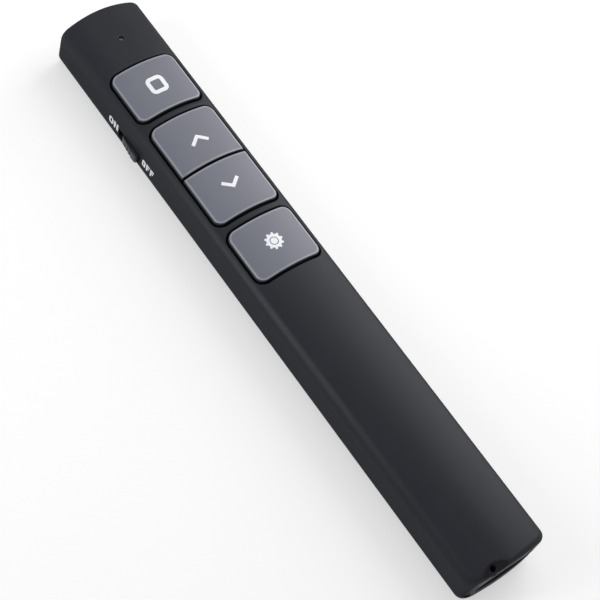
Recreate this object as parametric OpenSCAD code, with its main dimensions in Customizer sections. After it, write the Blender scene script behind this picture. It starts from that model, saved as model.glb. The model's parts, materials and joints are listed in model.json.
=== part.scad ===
// Slim wireless presentation clicker, in millimetres.
// X runs across the body, +Y points to the nose and +Z to the keys; the origin is
// the middle of the flat underside.

/* [Body] */
// Width over the side walls
body_w = 20; // [20:0.5:28]
// Radius of the crowned top, measured across the body
crown_r = 22; // [21:1:40]
// Radius of the shoulders between the crown and the sides
shoulder_r = 3; // [2.8:0.1:3.4]
// Radius of the long bottom edges
keel_r = 3.5; // [2.8:0.1:3.8]
// Thickness of the side walls
side_wall = 1.4; // [1.3:0.05:1.5]
// Thickness of the top wall
top_wall = 1.3; // [1.2:0.05:1.5]
// Thickness of the floor
floor_t = 1.2; // [1:0.1:1.6]
// Height of the seam between the upper housing and what closes it below
seam_z = 2.6; // [2.5:0.05:2.8]
// Gap between housing pieces that meet at a seam
seam_gap = 0.06; // [0.04:0.01:0.1]

/* [Ends] */
// Radius of the nose, seen from above
nose_r = 84; // [60:1:120]
// Radius of the nose's upright corners
nose_corner_r = 1.2; // [1:0.1:2]
// Angle by which the nose leans back from its lower edge
nose_lean = 3.6; // [0:0.1:4]
// Thickness of the nose wall at its foot
nose_wall = 2.2; // [2:0.1:2.4]
// Radius of the tail, seen from above
tail_r = 70; // [50:1:120]
// Radius of the tail's upright corners
tail_corner_r = 2; // [1.6:0.1:2.4]
// Thickness of the tail wall at the middle
tail_wall = 1.8; // [1.6:0.1:2.4]
// Radius of the edges around both end faces
end_roll_r = 0.9; // [0.5:0.1:1]

/* [Keys] */
// Housing beside a key, up to the side of the body
key_margin = 2; // [2:0.1:3]
// Length of each key
key_l = 13.35; // [12:0.05:15]
// Radius of the key corners
key_corner_r = 2; // [1.5:0.1:2.5]
// Height of the key tops above the crown
key_proud = 0.45; // [0.4:0.05:0.7]
// Gap between a key and its opening
key_gap = 0.4; // [0.3:0.05:0.45]
// Housing left between two key openings
key_web = 1.4; // [1.2:0.1:3]
// Line between the two page keys
page_line = 0.3; // [0.2:0.05:0.5]
// Distance from the nose to the first key
keys_from_nose = 17.55; // [17.5:0.05:22]
// Travel of a key
key_travel = 0.4; // [0.2:0.05:0.4]
// Reach of a key's hidden flange under the top wall
key_flange = 0.5; // [0.3:0.05:0.6]
// Thickness of the key's hidden flange
key_flange_t = 0.85; // [0.7:0.05:1]
// Play of a key's flange under the top wall
key_play = 0.05; // [0.03:0.01:0.1]

/* [Key switches] */
// Width and length of a key switch
tact_w = 6; // [5:0.1:6.4]
// Height of a key switch's base above the board
tact_h = 3.5; // [3:0.1:3.8]
// Height of the plunger above the base
plunger_rise = 0.7; // [0.6:0.05:1]
// Radius of the plunger
plunger_r = 1.75; // [1.5:0.05:1.9]
// Clearance around the plunger
plunger_play = 0.08; // [0.05:0.01:0.1]
// Height of the pad under each key that meets the plunger
key_pad_h = 0.25; // [0.2:0.05:0.4]
// Thickness of a key switch's metal cover
tact_cover_t = 0.25; // [0.2:0.05:0.3]

/* [Power slider] */
// Distance from the nose to the middle of the slider at OFF
slider_from_nose = 30.8; // [29:0.1:33]
// Length of the slider's knob
knob_l = 6.2; // [5:0.1:7]
// Height of the slider's knob
knob_h = 2.2; // [2:0.1:2.2]
// Height of the knob outside the side wall
knob_proud = 0.9; // [0.6:0.05:1]
// Travel of the slider from OFF to ON
slider_travel = 1.5; // [1:0.1:1.6]
// Gap around the knob in its slot
knob_gap = 0.25; // [0.2:0.05:0.3]
// Thickness of the slider's plate behind the wall
knob_plate_t = 0.75; // [0.6:0.05:0.8]
// Width of the slide switch across the body
slide_case_w = 2.7; // [2.4:0.1:3]
// Length of the slide switch
slide_case_l = 6.7; // [6.4:0.1:8]
// Height of the slide switch under the board
slide_case_h = 1.5; // [1.4:0.1:1.6]

/* [Board] */
// Thickness of the circuit board
board_t = 1.2; // [1:0.1:1.4]
// Gap between the circuit board and the side walls
board_gap = 1.2; // [1.1:0.05:1.3]
// Distance from the nose to the front edge of the board
board_from_nose = 12.5; // [12.4:0.1:13]
// Distance from the nose to the status light's pinhole
light_from_nose = 10; // [9.8:0.1:10.4]
// Radius of the light pipe
pipe_r = 0.5; // [0.4:0.05:0.6]

/* [Laser] */
// Radius of the laser barrel
barrel_r = 3; // [2.6:0.1:3]
// Length of the laser barrel
barrel_l = 9; // [8:0.1:9]
// Radius of the window in the nose
window_r = 2.6; // [2.2:0.1:2.7]
// Thickness of the window
window_t = 1.1; // [0.9:0.1:1.2]

/* [Battery] */
// Diameter of the AAA cell
cell_d = 10.5; // [9.8:0.1:10.8]
// Length of the AAA cell, with its positive nub
cell_l = 44.5; // [40:0.1:50]
// Play around the cell
cell_play = 0.15; // [0.1:0.01:0.2]
// Length of the pressed battery spring
spring_l = 3.4; // [3:0.1:6]
// Radius of the battery spring's wire
spring_wire_r = 0.25; // [0.2:0.05:0.3]
// Thickness of the battery contacts
contact_t = 0.3; // [0.2:0.05:0.4]
// Thickness of the battery tray's cross walls
tray_wall = 1.1; // [1:0.05:1.4]
// Radius of the battery leads
lead_r = 0.45; // [0.35:0.05:0.5]

/* [Receiver] */
// Width of the USB receiver's cap
cap_w = 13.4; // [12.8:0.1:14]
// Height of the receiver's cap
cap_h = 5.8; // [5.4:0.1:6]
// Length of the receiver's cap
cap_l = 5.6; // [5:0.1:8]
// Width of the USB plug
plug_w = 12; // [11.8:0.05:12.1]
// Height of the USB plug
plug_h = 4.5; // [4.4:0.05:4.6]
// Length of the USB plug
plug_l = 11.75; // [11:0.05:13]
// Thickness of the USB plug's shell
plug_shell_t = 0.3; // [0.25:0.05:0.35]
// Height of the receiver's middle above the underside
receiver_z = 6.8; // [6.7:0.05:7]
// Gap around the receiver in its bay
receiver_gap = 0.1; // [0.08:0.01:0.15]
// Depth of the receiver's cap below the tail face
cap_recess = 0.5; // [0.3:0.1:1]

/* [Screws] */
// Radius of the bosses that take the housing screws
boss_r = 1.7; // [1.6:0.05:1.8]
// Radius of the housing screws' shanks
screw_r = 0.8; // [0.7:0.05:0.85]
// Radius of the screw heads
head_r = 1.5; // [1.3:0.05:1.6]
// Height of the screw heads
head_h = 0.9; // [0.7:0.05:1]
// Distance from the nose to the nose screws
nose_screw_from_nose = 8; // [7.5:0.1:8.5]
// Reach of the nose screws into their bosses
nose_bite = 5.1; // [4:0.1:5.1]
// Reach of the middle screw and the tray screws into their bosses
fix_bite = 3.6; // [3:0.1:3.8]
// Reach of the board screws into their bosses
board_bite = 2.1; // [1.6:0.1:2.2]
// Depth of a pilot hole beyond its screw
pilot_rest = 0.9; // [0.5:0.1:1]
// Clearance of a screw in its hole
screw_play = 0.05; // [0.03:0.01:0.1]

/* [Battery cover] */
// Thickness of the cover's upright rails
rail_t = 0.9; // [0.8:0.05:1]
// Reach of the rails' lips into the side walls
lip_reach = 0.45; // [0.3:0.05:0.5]
// Running gap around the rails
rail_gap = 0.09; // [0.05:0.01:0.1]
// Grip grooves in the cover
grip_count = 6; // [3:1:9]
// Distance from one grip groove to the next
grip_pitch = 2; // [1.6:0.1:2.5]

/* [Strap eye] */
// Distance of the strap eye from the middle of the body
eye_x = 4.5; // [4:0.1:5]
// Radius of the strap hole
eye_r = 0.65; // [0.5:0.05:0.7]
// Distance of the strap hole's upright leg from the tail
eye_back = 1.25; // [1.2:0.05:1.5]
// Width of the scoop around the strap hole, along the tail
scoop_w = 7.4; // [6:0.1:8]
// Reach of the scoop from the tail onto the top
scoop_reach = 1.6; // [1.2:0.1:2]
// Depth of the scoop at the tail
scoop_depth = 0.8; // [0.5:0.1:0.9]

/* [Hidden] */
$fn = 64;
tiny = 0.01;
// Reach of rounded outlines beyond the faces that they blend into
ease = 0.02;

// Across the body
half_w = body_w / 2;
in_half_w = half_w - side_wall;
in_shoulder_r = shoulder_r - side_wall;
board_half_w = in_half_w - board_gap;
rail_out_x = in_half_w - rail_gap;
rail_in_x = rail_out_x - rail_t;
tray_half_w = rail_in_x - 0.25;
key_w = body_w - 2 * key_margin;

// Heights: the cell sets the body's height
cell_r = cell_d / 2;
cell_z = floor_t + cell_play + cell_r;
body_h = cell_z + cell_r + cell_play + top_wall;
crown_z = body_h - crown_r;
in_crown_r = crown_r - top_wall;
key_top_r = crown_r + key_proud;
flange_top_r = in_crown_r - key_play;
flange_low_r = flange_top_r - key_flange_t;
plunger_top_z = crown_z + flange_low_r - key_pad_h;
tact_top_z = plunger_top_z - plunger_rise;
board_top_z = tact_top_z - tact_h;
board_low_z = board_top_z - board_t;
slide_z = board_low_z - slide_case_h / 2;

// Along the body, from the nose to the tail
page_pair_l = 2 * key_l + page_line;
web_step = key_web + 2 * key_gap;
keys_l = 2 * key_l + page_pair_l + 2 * web_step;
fix_back = key_gap + key_flange + 0.3 + boss_r;
tray_back = boss_r + 0.2;
cell_back = tray_wall + contact_t + 0.1;
plate_back = spring_l + contact_t + 0.05;
plug_room = 0.85;
body_l = keys_from_nose + keys_l + fix_back + tray_back + cell_back + cell_l
    + plate_back + tray_wall + plug_room + plug_l + cap_l + cap_recess;
nose_y = body_l / 2;
tail_y = -body_l / 2;
stop_y = nose_y - keys_from_nose - key_l / 2;
page_pair_y = stop_y - key_l / 2 - web_step - page_pair_l / 2;
page_up_y = page_pair_y + (key_l + page_line) / 2;
page_down_y = page_pair_y - (key_l + page_line) / 2;
pointer_y = page_pair_y - page_pair_l / 2 - web_step - key_l / 2;
key_ys = [stop_y, page_up_y, page_down_y, pointer_y];
keys_end_y = pointer_y - key_l / 2;
fix_y = keys_end_y - fix_back;
tray_front_y = fix_y - tray_back;
cell_front_y = tray_front_y - cell_back;
cell_end_y = cell_front_y - cell_l;
plate_y = cell_end_y - plate_back;
plug_tip_y = plate_y - tray_wall - plug_room;
cap_front_y = plug_tip_y - plug_l;
cap_end_y = cap_front_y - cap_l;
tray_end_y = cap_front_y + 0.4;
cover_front_y = tray_front_y - 0.3;
in_nose_y = nose_y - nose_wall;
in_tail_y = tail_y + tail_wall;

// Places of the parts in the nose
board_front_y = nose_y - board_from_nose;
light_y = nose_y - light_from_nose;
pin_r = 0.22;
laser_z = board_top_z + pin_r;
barrel_front_y = in_nose_y - 0.25;
barrel_end_y = barrel_front_y - barrel_l;
window_lip = nose_wall - window_t - 0.1;

// Screws
contact_half = 2.8;
nose_screw_x = in_half_w - boss_r - 0.8;
nose_screw_y = nose_y - nose_screw_from_nose;
board_screw_x = board_half_w - 1.9;
board_screw_y = nose_y - keys_from_nose + key_gap + key_flange + 2;
tray_boss_r = boss_r - 0.2;
tray_screw_x = contact_half + tray_boss_r + 0.4;
tray_screw_y = cell_end_y - 1.9;

// Slider
knob_y = nose_y - slider_from_nose;
slot_gap_h = knob_h / 2 + knob_gap;
knob_plate_l = knob_l + 2 * knob_gap + 2 * slider_travel + 1;
stem_half = 0.7;
stem_reach = in_half_w + 0.5;

// Screw seats and bosses
seat_low_z = floor_t + 0.9;
nose_boss_z = seam_z + 0.8;
fix_boss_z = seam_z + 2.4;
ear_t = 1.2;
ear_low_z = fix_boss_z - ear_t;
tray_ear_z = 5;
screw_hole_r = screw_r + screw_play;
board_pilot_r = 0.6;
board_boss_r = 1.4;
board_head_r = 1.2;

// Rails of the battery cover
lip_low_z = seam_z + 0.9;
lip_top_z = lip_low_z + 0.8;

// Key switches
collar = 0.3;
dome_z = board_top_z + 0.5;
dome_r = 2;
dome_rise = 0.35;
dome_t = 0.12;
plunger_foot_z = dome_z + dome_rise + dome_t + key_travel + 0.04;
cavity_top_z = tact_top_z - 0.9;

// Parts on the board
chip_y = page_down_y - 1;
led_y = board_front_y - 1.6;
led_h = 0.8;

// Laser optics
lens_r = 2.1;
diode_r = 2.2;
cradle_gap = 0.02;

// Battery tray and receiver tunnel
bay_r = cell_r + cell_play;
tunnel_top_z = receiver_z + plug_h / 2 + receiver_gap;
tunnel_low_z = receiver_z - plug_h / 2 - receiver_gap;
tray_low_z = floor_t + 0.5;
tray_top_z = tunnel_top_z + 0.8;
lead_x = tray_screw_x + tray_boss_r + lead_r + 0.16;
lead_z = tray_top_z - lead_r - 0.05;
tab_low_z = lead_z - lead_r;
contact_low_z = cell_z - cell_r + 1.25;
tongue_top_z = receiver_z - 0.1;

// Plug
latch_x = 3;
latch_w = 2.2;
latch_l = 2.3;
latch_back = 4.2;
tongue_tip_y = plug_tip_y - 0.6;
strip_in_x = 1;
strip_out_x = 3.5;
strip_w = 1;

// Strap eye
eye_z = receiver_z + cap_h / 2 + receiver_gap + 0.35 + eye_r;
scoop_back = (scoop_w * scoop_w / 4 - scoop_reach * scoop_reach) / (2 * scoop_reach);
scoop_up = (scoop_w * scoop_w / 4 - scoop_depth * scoop_depth) / (2 * scoop_depth);

// Battery spring
spring_turns = 3.5;
spring_steps = 20;
spring_sides = 8;
spring_big_r = contact_half - spring_wire_r - 0.05;
spring_small_r = 1.6;
spring_from_y = plate_y + contact_t + 0.02 + spring_wire_r;
spring_to_y = cell_end_y - 0.02 - spring_wire_r;

// ---------- shapes shared by several pieces ----------

// Block between two corners, each side given as [low, high]
module block(x, y, z) {
    translate([x[0], y[0], z[0]]) cube([x[1] - x[0], y[1] - y[0], z[1] - z[0]]);
}

// Upright round post between two heights
module post(x, y, z, r) {
    translate([x, y, z[0]]) cylinder(r = r, h = z[1] - z[0]);
}

// Round rod along the body between two places
module rod(x, z, y, r) {
    translate([x, y[1], z]) rotate([90, 0, 0]) cylinder(r = r, h = y[1] - y[0]);
}

// Extrudes an outline drawn in X and Z along the body
module along(y) {
    translate([0, y[1], 0]) rotate([90, 0, 0]) linear_extrude(y[1] - y[0]) children();
}

// Copies to the left and the right side
module both_sides() {
    children();
    mirror([1, 0, 0]) children();
}

// Rectangle with round corners, centred
module round_rect(w, l, r) {
    square([w - 2 * r, l], center = true);
    square([w, l - 2 * r], center = true);
    for (x = [-1, 1], y = [-1, 1]) {
        translate([x * (w / 2 - r), y * (l / 2 - r)]) circle(r);
    }
}

// Arch that stands on the X axis: straight sides, tangent shoulders and a crown
module arch(half, tip, crown, shoulder) {
    shoulder_x = half - shoulder;
    reach = crown - shoulder;
    shoulder_y = tip - crown + sqrt(reach * reach - shoulder_x * shoulder_x);
    turn = asin(shoulder_x / reach);
    edge_x = crown * sin(turn);
    edge_y = tip - crown + crown * cos(turn);
    intersection() {
        translate([0, tip - crown]) circle(crown, $fn = 360);
        translate([-edge_x, edge_y]) square([2 * edge_x, crown]);
    }
    for (side = [-1, 1]) translate([side * shoulder_x, shoulder_y]) circle(shoulder);
    polygon([[-edge_x, edge_y], [-half, shoulder_y], [-half, 0],
        [half, 0], [half, shoulder_y], [edge_x, edge_y]]);
}

// Cross-section of the body
module body_section() {
    translate([0, keel_r]) arch(half_w, body_h - keel_r, crown_r, shoulder_r);
    translate([-half_w + keel_r, 0]) square([body_w - 2 * keel_r, keel_r]);
    for (side = [-1, 1]) translate([side * (half_w - keel_r), keel_r]) circle(keel_r);
}

// Cross-section of the hollow, with a floor that follows the bottom edges
module hollow_section() {
    translate([0, keel_r]) {
        arch(in_half_w, body_h - top_wall - keel_r, in_crown_r, in_shoulder_r);
    }
    in_keel_r = keel_r - side_wall;
    translate([-in_half_w + in_keel_r, floor_t]) {
        square([2 * (in_half_w - in_keel_r), keel_r - floor_t]);
    }
    translate([-in_half_w, floor_t + in_keel_r]) {
        square([2 * in_half_w, keel_r - floor_t - in_keel_r + tiny]);
    }
    for (side = [-1, 1]) {
        translate([side * (in_half_w - in_keel_r), floor_t + in_keel_r]) circle(in_keel_r);
    }
}

// Points of an arc after its start
function arc(c, r, from, to, steps) = [for (i = [1 : steps])
    let (a = from + (to - from) * i / steps) c + r * [cos(a), sin(a)]];

// Points of an arc with its start
function full_arc(c, r, from, to, steps) = concat([c + r * [cos(from), sin(from)]],
    arc(c, r, from, to, steps));

// Points around one end, from the right side to the left
function end_points(r, corner) = let (
        x = half_w + ease - corner,
        y = nose_y - r + sqrt((r - corner) * (r - corner) - x * x),
        turn = asin(x / (r - corner))
    ) concat([[x + corner, y]], arc([x, y], corner, 0, 90 - turn, 8),
        arc([0, nose_y - r], r, 90 - turn, 90 + turn, 10),
        arc([-x, y], corner, 90 + turn, 180, 8));

// Outline of the body from the side: the nose leans back and all corners are rolled.
// It stands a touch outside the flat faces.
module body_elevation() {
    y = (body_l + ease) / 2 - end_roll_r;
    low = end_roll_r - ease / 2;
    high = body_h + ease / 2 - end_roll_r;
    polygon(concat(full_arc([y, low], end_roll_r, -90, nose_lean, 6),
        full_arc([y - (high - low) * tan(nose_lean), high], end_roll_r, nose_lean, 90, 6),
        full_arc([-y, high], end_roll_r, 90, 180, 6), full_arc([-y, low], end_roll_r, 180, 270, 6)));
}

// Outline of the body from above, a touch wider than the section so that it
// crosses the side walls
module body_plan() {
    polygon(concat(end_points(nose_r, nose_corner_r),
        [for (p = end_points(tail_r, tail_corner_r)) -p]));
}

// The whole outer form: section, plan and rolled end edges
module outer_form() {
    intersection() {
        along([tail_y - 1, nose_y + 1]) body_section();
        translate([0, 0, -1]) linear_extrude(body_h + 2) body_plan();
        translate([-body_w, 0, 0]) rotate([90, 0, 90]) linear_extrude(2 * body_w) {
            body_elevation();
        }
    }
}

module hollow_form() {
    along([in_tail_y, in_nose_y]) hollow_section();
}

// Everything above or below the seam
module above(z) {
    block([-body_w, body_w], [-body_l, body_l], [z, 2 * body_h]);
}

module below(z) {
    block([-body_w, body_w], [-body_l, body_l], [-body_h, z]);
}

// Opening for keys centred at y, down to the given height
module key_opening(y, l, low_z) {
    translate([0, y, low_z]) linear_extrude(body_h) {
        round_rect(key_w + 2 * key_gap, l + 2 * key_gap, key_corner_r + key_gap);
    }
}

// Height of the hollow's crown at x
function hollow_top(x) = crown_z + sqrt(in_crown_r * in_crown_r - x * x);

// Screw boss that hangs from the top wall, with a blind pilot hole
module boss(x, y, low_z, r, pilot_r, bite) {
    difference() {
        post(x, y, [low_z, hollow_top(abs(x)) + 0.5], r);
        post(x, y, [low_z - tiny, low_z + bite + pilot_rest], pilot_r);
    }
}

// Pan-head screw that points up, its head resting at z
module screw(x, y, z, shank_r, shank_l, head) {
    difference() {
        union() {
            post(x, y, [z - head_h, z], head);
            post(x, y, [z - tiny, z + shank_l], shank_r);
        }
        for (turn = [0, 90]) {
            translate([x, y, z - head_h]) rotate([0, 0, turn]) {
                cube([head * 1.1, 0.3, head_h], center = true);
            }
        }
    }
}

// ---------- housing ----------

// Rails' shape in the side walls, wider by the running gap
module rail_slot() {
    both_sides() {
        block([rail_in_x - rail_gap, in_half_w + tiny], [tail_y - 1, cover_front_y + 0.3],
            [0, lip_top_z + rail_gap]);
        block([in_half_w - tiny, in_half_w + lip_reach + rail_gap],
            [tail_y - 1, cover_front_y + 0.3], [lip_low_z - rail_gap, lip_top_z + rail_gap]);
    }
}

// Scoop in the tail's top edge and the bent hole for a strap
module strap_eye() {
    top_z = crown_z + sqrt(crown_r * crown_r - eye_x * eye_x);
    full_reach = scoop_back + scoop_reach;
    ball_r = sqrt(scoop_up * scoop_up + full_reach * full_reach);
    translate([-eye_x, tail_y - scoop_back, top_z + scoop_up]) sphere(ball_r, $fn = 180);
    post(-eye_x, tail_y + eye_back, [eye_z - eye_r, body_h + 1], eye_r);
    rod(-eye_x, eye_z, [tail_y - 1, tail_y + eye_back], eye_r);
}

module upper_housing() {
    color("#33343a") difference() {
        union() {
            difference() {
                intersection() {
                    outer_form();
                    above(seam_z);
                }
                hollow_form();
            }
            // Bosses for the screws
            both_sides() {
                boss(nose_screw_x, nose_screw_y, nose_boss_z, boss_r, screw_hole_r, nose_bite);
                boss(board_screw_x, board_screw_y, board_top_z, board_boss_r, board_pilot_r, board_bite);
                boss(tray_screw_x, tray_screw_y, tray_ear_z, tray_boss_r, screw_hole_r, fix_bite);
            }
            boss(0, fix_y, fix_boss_z, boss_r, screw_hole_r, fix_bite);
            // Ledges over the long edges of the board
            both_sides() {
                for (y = [(stop_y + page_up_y) / 2, (page_down_y + pointer_y) / 2]) {
                    block([board_half_w - 0.5, in_half_w + 0.3],
                        [y - key_web / 2, y + key_web / 2], [board_top_z, board_top_z + 1.5]);
                }
            }
            // Block around the strap eye
            block([-eye_x - eye_r - 1, -eye_x + eye_r + 1], [tail_y + 1, tail_y + eye_back + eye_r + 1],
                [eye_z - eye_r - 0.3, hollow_top(eye_x + eye_r + 1) + 0.4]);
        }
        key_opening(stop_y, key_l, board_top_z + 2);
        key_opening(page_pair_y, page_pair_l, board_top_z + 2);
        key_opening(pointer_y, key_l, board_top_z + 2);
        post(0, light_y, [board_top_z, 2 * body_h], pipe_r + 0.05);
        // Slot for the power slider
        block([-half_w - 1, -in_half_w + tiny],
            [knob_y - knob_l / 2 - knob_gap, knob_y + knob_l / 2 + slider_travel + knob_gap],
            [slide_z - slot_gap_h, slide_z + slot_gap_h]);
        // Laser window: a seat from inside and a smaller hole outside
        rod(0, laser_z, [in_nose_y - tiny, nose_y - window_lip], window_r + 0.03);
        rod(0, laser_z, [in_nose_y, nose_y + 1], window_r - 0.6);
        // Receiver's opening in the tail
        translate([0, in_tail_y + tiny, receiver_z]) rotate([90, 0, 0]) {
            linear_extrude(tail_wall + 1) {
                round_rect(cap_w + 2 * receiver_gap, cap_h + 2 * receiver_gap, 1);
            }
        }
        rail_slot();
        strap_eye();
    }
}

module lower_housing() {
    color("#2b2c31") difference() {
        union() {
            difference() {
                intersection() {
                    outer_form();
                    below(seam_z - seam_gap);
                    block([-body_w, body_w], [cover_front_y + seam_gap, body_l], [-1, body_h]);
                }
                hollow_form();
            }
            // Lip that stands behind the seam
            both_sides() {
                block([rail_in_x, rail_out_x - 0.15], [cover_front_y + 1, in_nose_y - 3],
                    [floor_t + 0.4, seam_z + 0.7]);
            }
            // Seats for the screws
            both_sides() post(nose_screw_x, nose_screw_y, [0.4, nose_boss_z - 0.05], boss_r);
            post(0, fix_y, [0.4, ear_low_z - 0.05], boss_r);
            // Posts under the board
            both_sides() {
                for (y = [stop_y, page_pair_y, pointer_y]) {
                    post(board_half_w - 3.6, y, [floor_t - 0.2, board_low_z], 1);
                }
            }
            // Cradle under the laser barrel
            difference() {
                for (y = [barrel_end_y + 1.5, barrel_front_y - 1.5]) {
                    block([-barrel_r, barrel_r], [y - 0.6, y + 0.6], [floor_t - 0.2, laser_z - 1]);
                }
                rod(0, laser_z, [barrel_end_y - 1, barrel_front_y + 1], barrel_r + cradle_gap);
            }
        }
        // Clearance for the slider's plate
        block([-in_half_w - tiny, -rail_in_x + tiny],
            [knob_y - knob_plate_l / 2 - 1, knob_y + knob_plate_l / 2 + slider_travel + 1],
            [slide_z - slot_gap_h - 1.1, body_h]);
        both_sides() {
            post(nose_screw_x, nose_screw_y, [-1, body_h], screw_hole_r);
            post(nose_screw_x, nose_screw_y, [-1, seat_low_z], head_r + screw_play);
        }
        post(0, fix_y, [-1, body_h], screw_hole_r);
        post(0, fix_y, [-1, seat_low_z], head_r + screw_play);
    }
}

module battery_cover() {
    grip_y = cover_front_y - 8;
    color("#2b2c31") difference() {
        union() {
            difference() {
                intersection() {
                    outer_form();
                    below(seam_z - seam_gap);
                    block([-body_w, body_w], [-body_l, cover_front_y - seam_gap], [-1, body_h]);
                }
                hollow_form();
            }
            // Rails with lips, which run in the side walls
            intersection() {
                both_sides() {
                    block([rail_in_x, rail_out_x], [tail_y, cover_front_y - 0.5],
                        [floor_t + 0.4, lip_top_z]);
                    block([rail_out_x - tiny, rail_out_x + lip_reach],
                        [tail_y, cover_front_y - 0.5], [lip_low_z, lip_top_z]);
                }
                outer_form();
            }
        }
        // Grip grooves across the underside
        for (i = [0 : grip_count - 1]) {
            translate([0, grip_y - i * grip_pitch, -0.35]) rotate([0, 90, 0]) {
                cylinder(r = 0.7, h = half_w, center = true);
            }
        }
    }
}

// ---------- keys and their switches ----------

// Key between two places along the body. Rounded ends are outer ends of a row and
// carry the hidden flange; the others face a neighbour across the page line.
module key(y, round_front, round_rear) {
    flange_half = key_w / 2 - key_corner_r;
    front = y + key_l / 2;
    rear = y - key_l / 2;
    span = [rear - (round_rear ? 0 : key_corner_r * 2), front + (round_front ? 0 : key_corner_r * 2)];
    flange = [rear - (round_rear ? key_gap + key_flange : 0), front + (round_front ? key_gap + key_flange : 0)];
    color("#777a84") difference() {
        union() {
            intersection() {
                translate([0, (span[0] + span[1]) / 2, 0]) linear_extrude(2 * body_h) {
                    round_rect(key_w, span[1] - span[0], key_corner_r);
                }
                block([-body_w, body_w], [rear, front], [0, 2 * body_h]);
                rod(0, crown_z, [rear - 1, front + 1], key_top_r, $fn = 360);
            }
            intersection() {
                block([-flange_half, flange_half], flange, [0, 2 * body_h]);
                rod(0, crown_z, [rear - 5, front + 5], flange_top_r, $fn = 360);
            }
        }
        difference() {
            rod(0, crown_z, [rear - 6, front + 6], flange_low_r, $fn = 360);
            post(0, y, [plunger_top_z, 2 * body_h], plunger_r);
        }
    }
}

module stop_key() { key(stop_y, true, true); }
module page_up_key() { key(page_up_y, true, false); }
module page_down_key() { key(page_down_y, false, true); }
module pointer_key() { key(pointer_y, true, true); }

// Plunger with a collar that keeps it in its switch
module plunger(y) {
    color("#1d1e22") {
        post(0, y, [plunger_foot_z, plunger_top_z], plunger_r);
        post(0, y, [plunger_foot_z, cavity_top_z - 0.05], plunger_r + collar);
    }
}

module stop_plunger() { plunger(stop_y); }
module page_up_plunger() { plunger(page_up_y); }
module page_down_plunger() { plunger(page_down_y); }
module pointer_plunger() { plunger(pointer_y); }

module tact_bases() {
    color("#26272b") for (y = key_ys) {
        difference() {
            block([-tact_w / 2, tact_w / 2], [y - tact_w / 2, y + tact_w / 2],
                [board_top_z, tact_top_z - tact_cover_t]);
            post(0, y, [dome_z, cavity_top_z], plunger_r + collar + plunger_play);
            post(0, y, [dome_z, body_h], plunger_r + plunger_play);
        }
    }
}

module tact_covers() {
    color("#b9bbc0") for (y = key_ys) {
        difference() {
            block([-tact_w / 2, tact_w / 2], [y - tact_w / 2, y + tact_w / 2],
                [tact_top_z - tact_cover_t, tact_top_z]);
            post(0, y, [0, body_h], plunger_r + plunger_play);
        }
    }
}

module snap_domes() {
    color("#d0d2d6") for (y = key_ys) {
        translate([0, y, dome_z]) rotate_extrude() {
            polygon([[dome_r - dome_t, 0], [dome_r, 0], [0.6 * dome_r, dome_rise + 0.6 * dome_t],
                [0, dome_rise + dome_t], [0, dome_rise], [0.58 * dome_r, dome_rise - 0.4 * dome_t]]);
        }
    }
}

// ---------- circuit board ----------

module circuit_board() {
    color("#1f5a3a") difference() {
        block([-board_half_w, board_half_w], [keys_end_y, board_front_y], [board_low_z, board_top_z]);
        both_sides() post(board_screw_x, board_screw_y, [0, body_h], board_pilot_r + screw_play);
    }
}

module radio_chip() {
    color("#17181b") block([-2.5, 2.5], [chip_y - 2.5, chip_y + 2.5],
        [board_low_z - 0.9, board_low_z]);
}

module crystal_can() {
    color("#c8cacf") block([-1.6, 1.6], [chip_y - 6.5, chip_y - 4], [board_low_z - 0.7, board_low_z]);
}

// Small resistors and capacitors around the radio chip
module chip_parts() {
    color("#a8835a") {
        for (i = [0 : 4]) {
            block([-4, -3], [chip_y - 4 + i * 2, chip_y - 3.5 + i * 2], [board_low_z - 0.45, board_low_z]);
            block([3, 4], [chip_y - 4 + i * 2, chip_y - 3.5 + i * 2], [board_low_z - 0.45, board_low_z]);
        }
        for (i = [0 : 2]) {
            block([-1.5 + i * 1.25, -1 + i * 1.25], [chip_y + 3.5, chip_y + 4.5],
                [board_low_z - 0.45, board_low_z]);
        }
    }
}

module status_led() {
    color("#e8e6d8") block([-0.8, 0.8], [led_y - 0.5, led_y + 0.5], [board_top_z, board_top_z + led_h]);
}

// Bent light pipe from the status light up to its pinhole
module light_pipe() {
    pipe_z = laser_z + barrel_r + 0.3;
    color("#dfe6ea") union() {
        block([-0.8, 0.8], [led_y - 0.5, led_y + 0.5], [board_top_z + led_h + 0.1, pipe_z + 1]);
        block([-0.8, 0.8], [led_y, light_y], [pipe_z, pipe_z + 1]);
        post(0, light_y, [pipe_z, pipe_z + 1], 0.8);
        post(0, light_y, [pipe_z, body_h - 0.25], pipe_r);
    }
}

// ---------- power slider ----------

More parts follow.
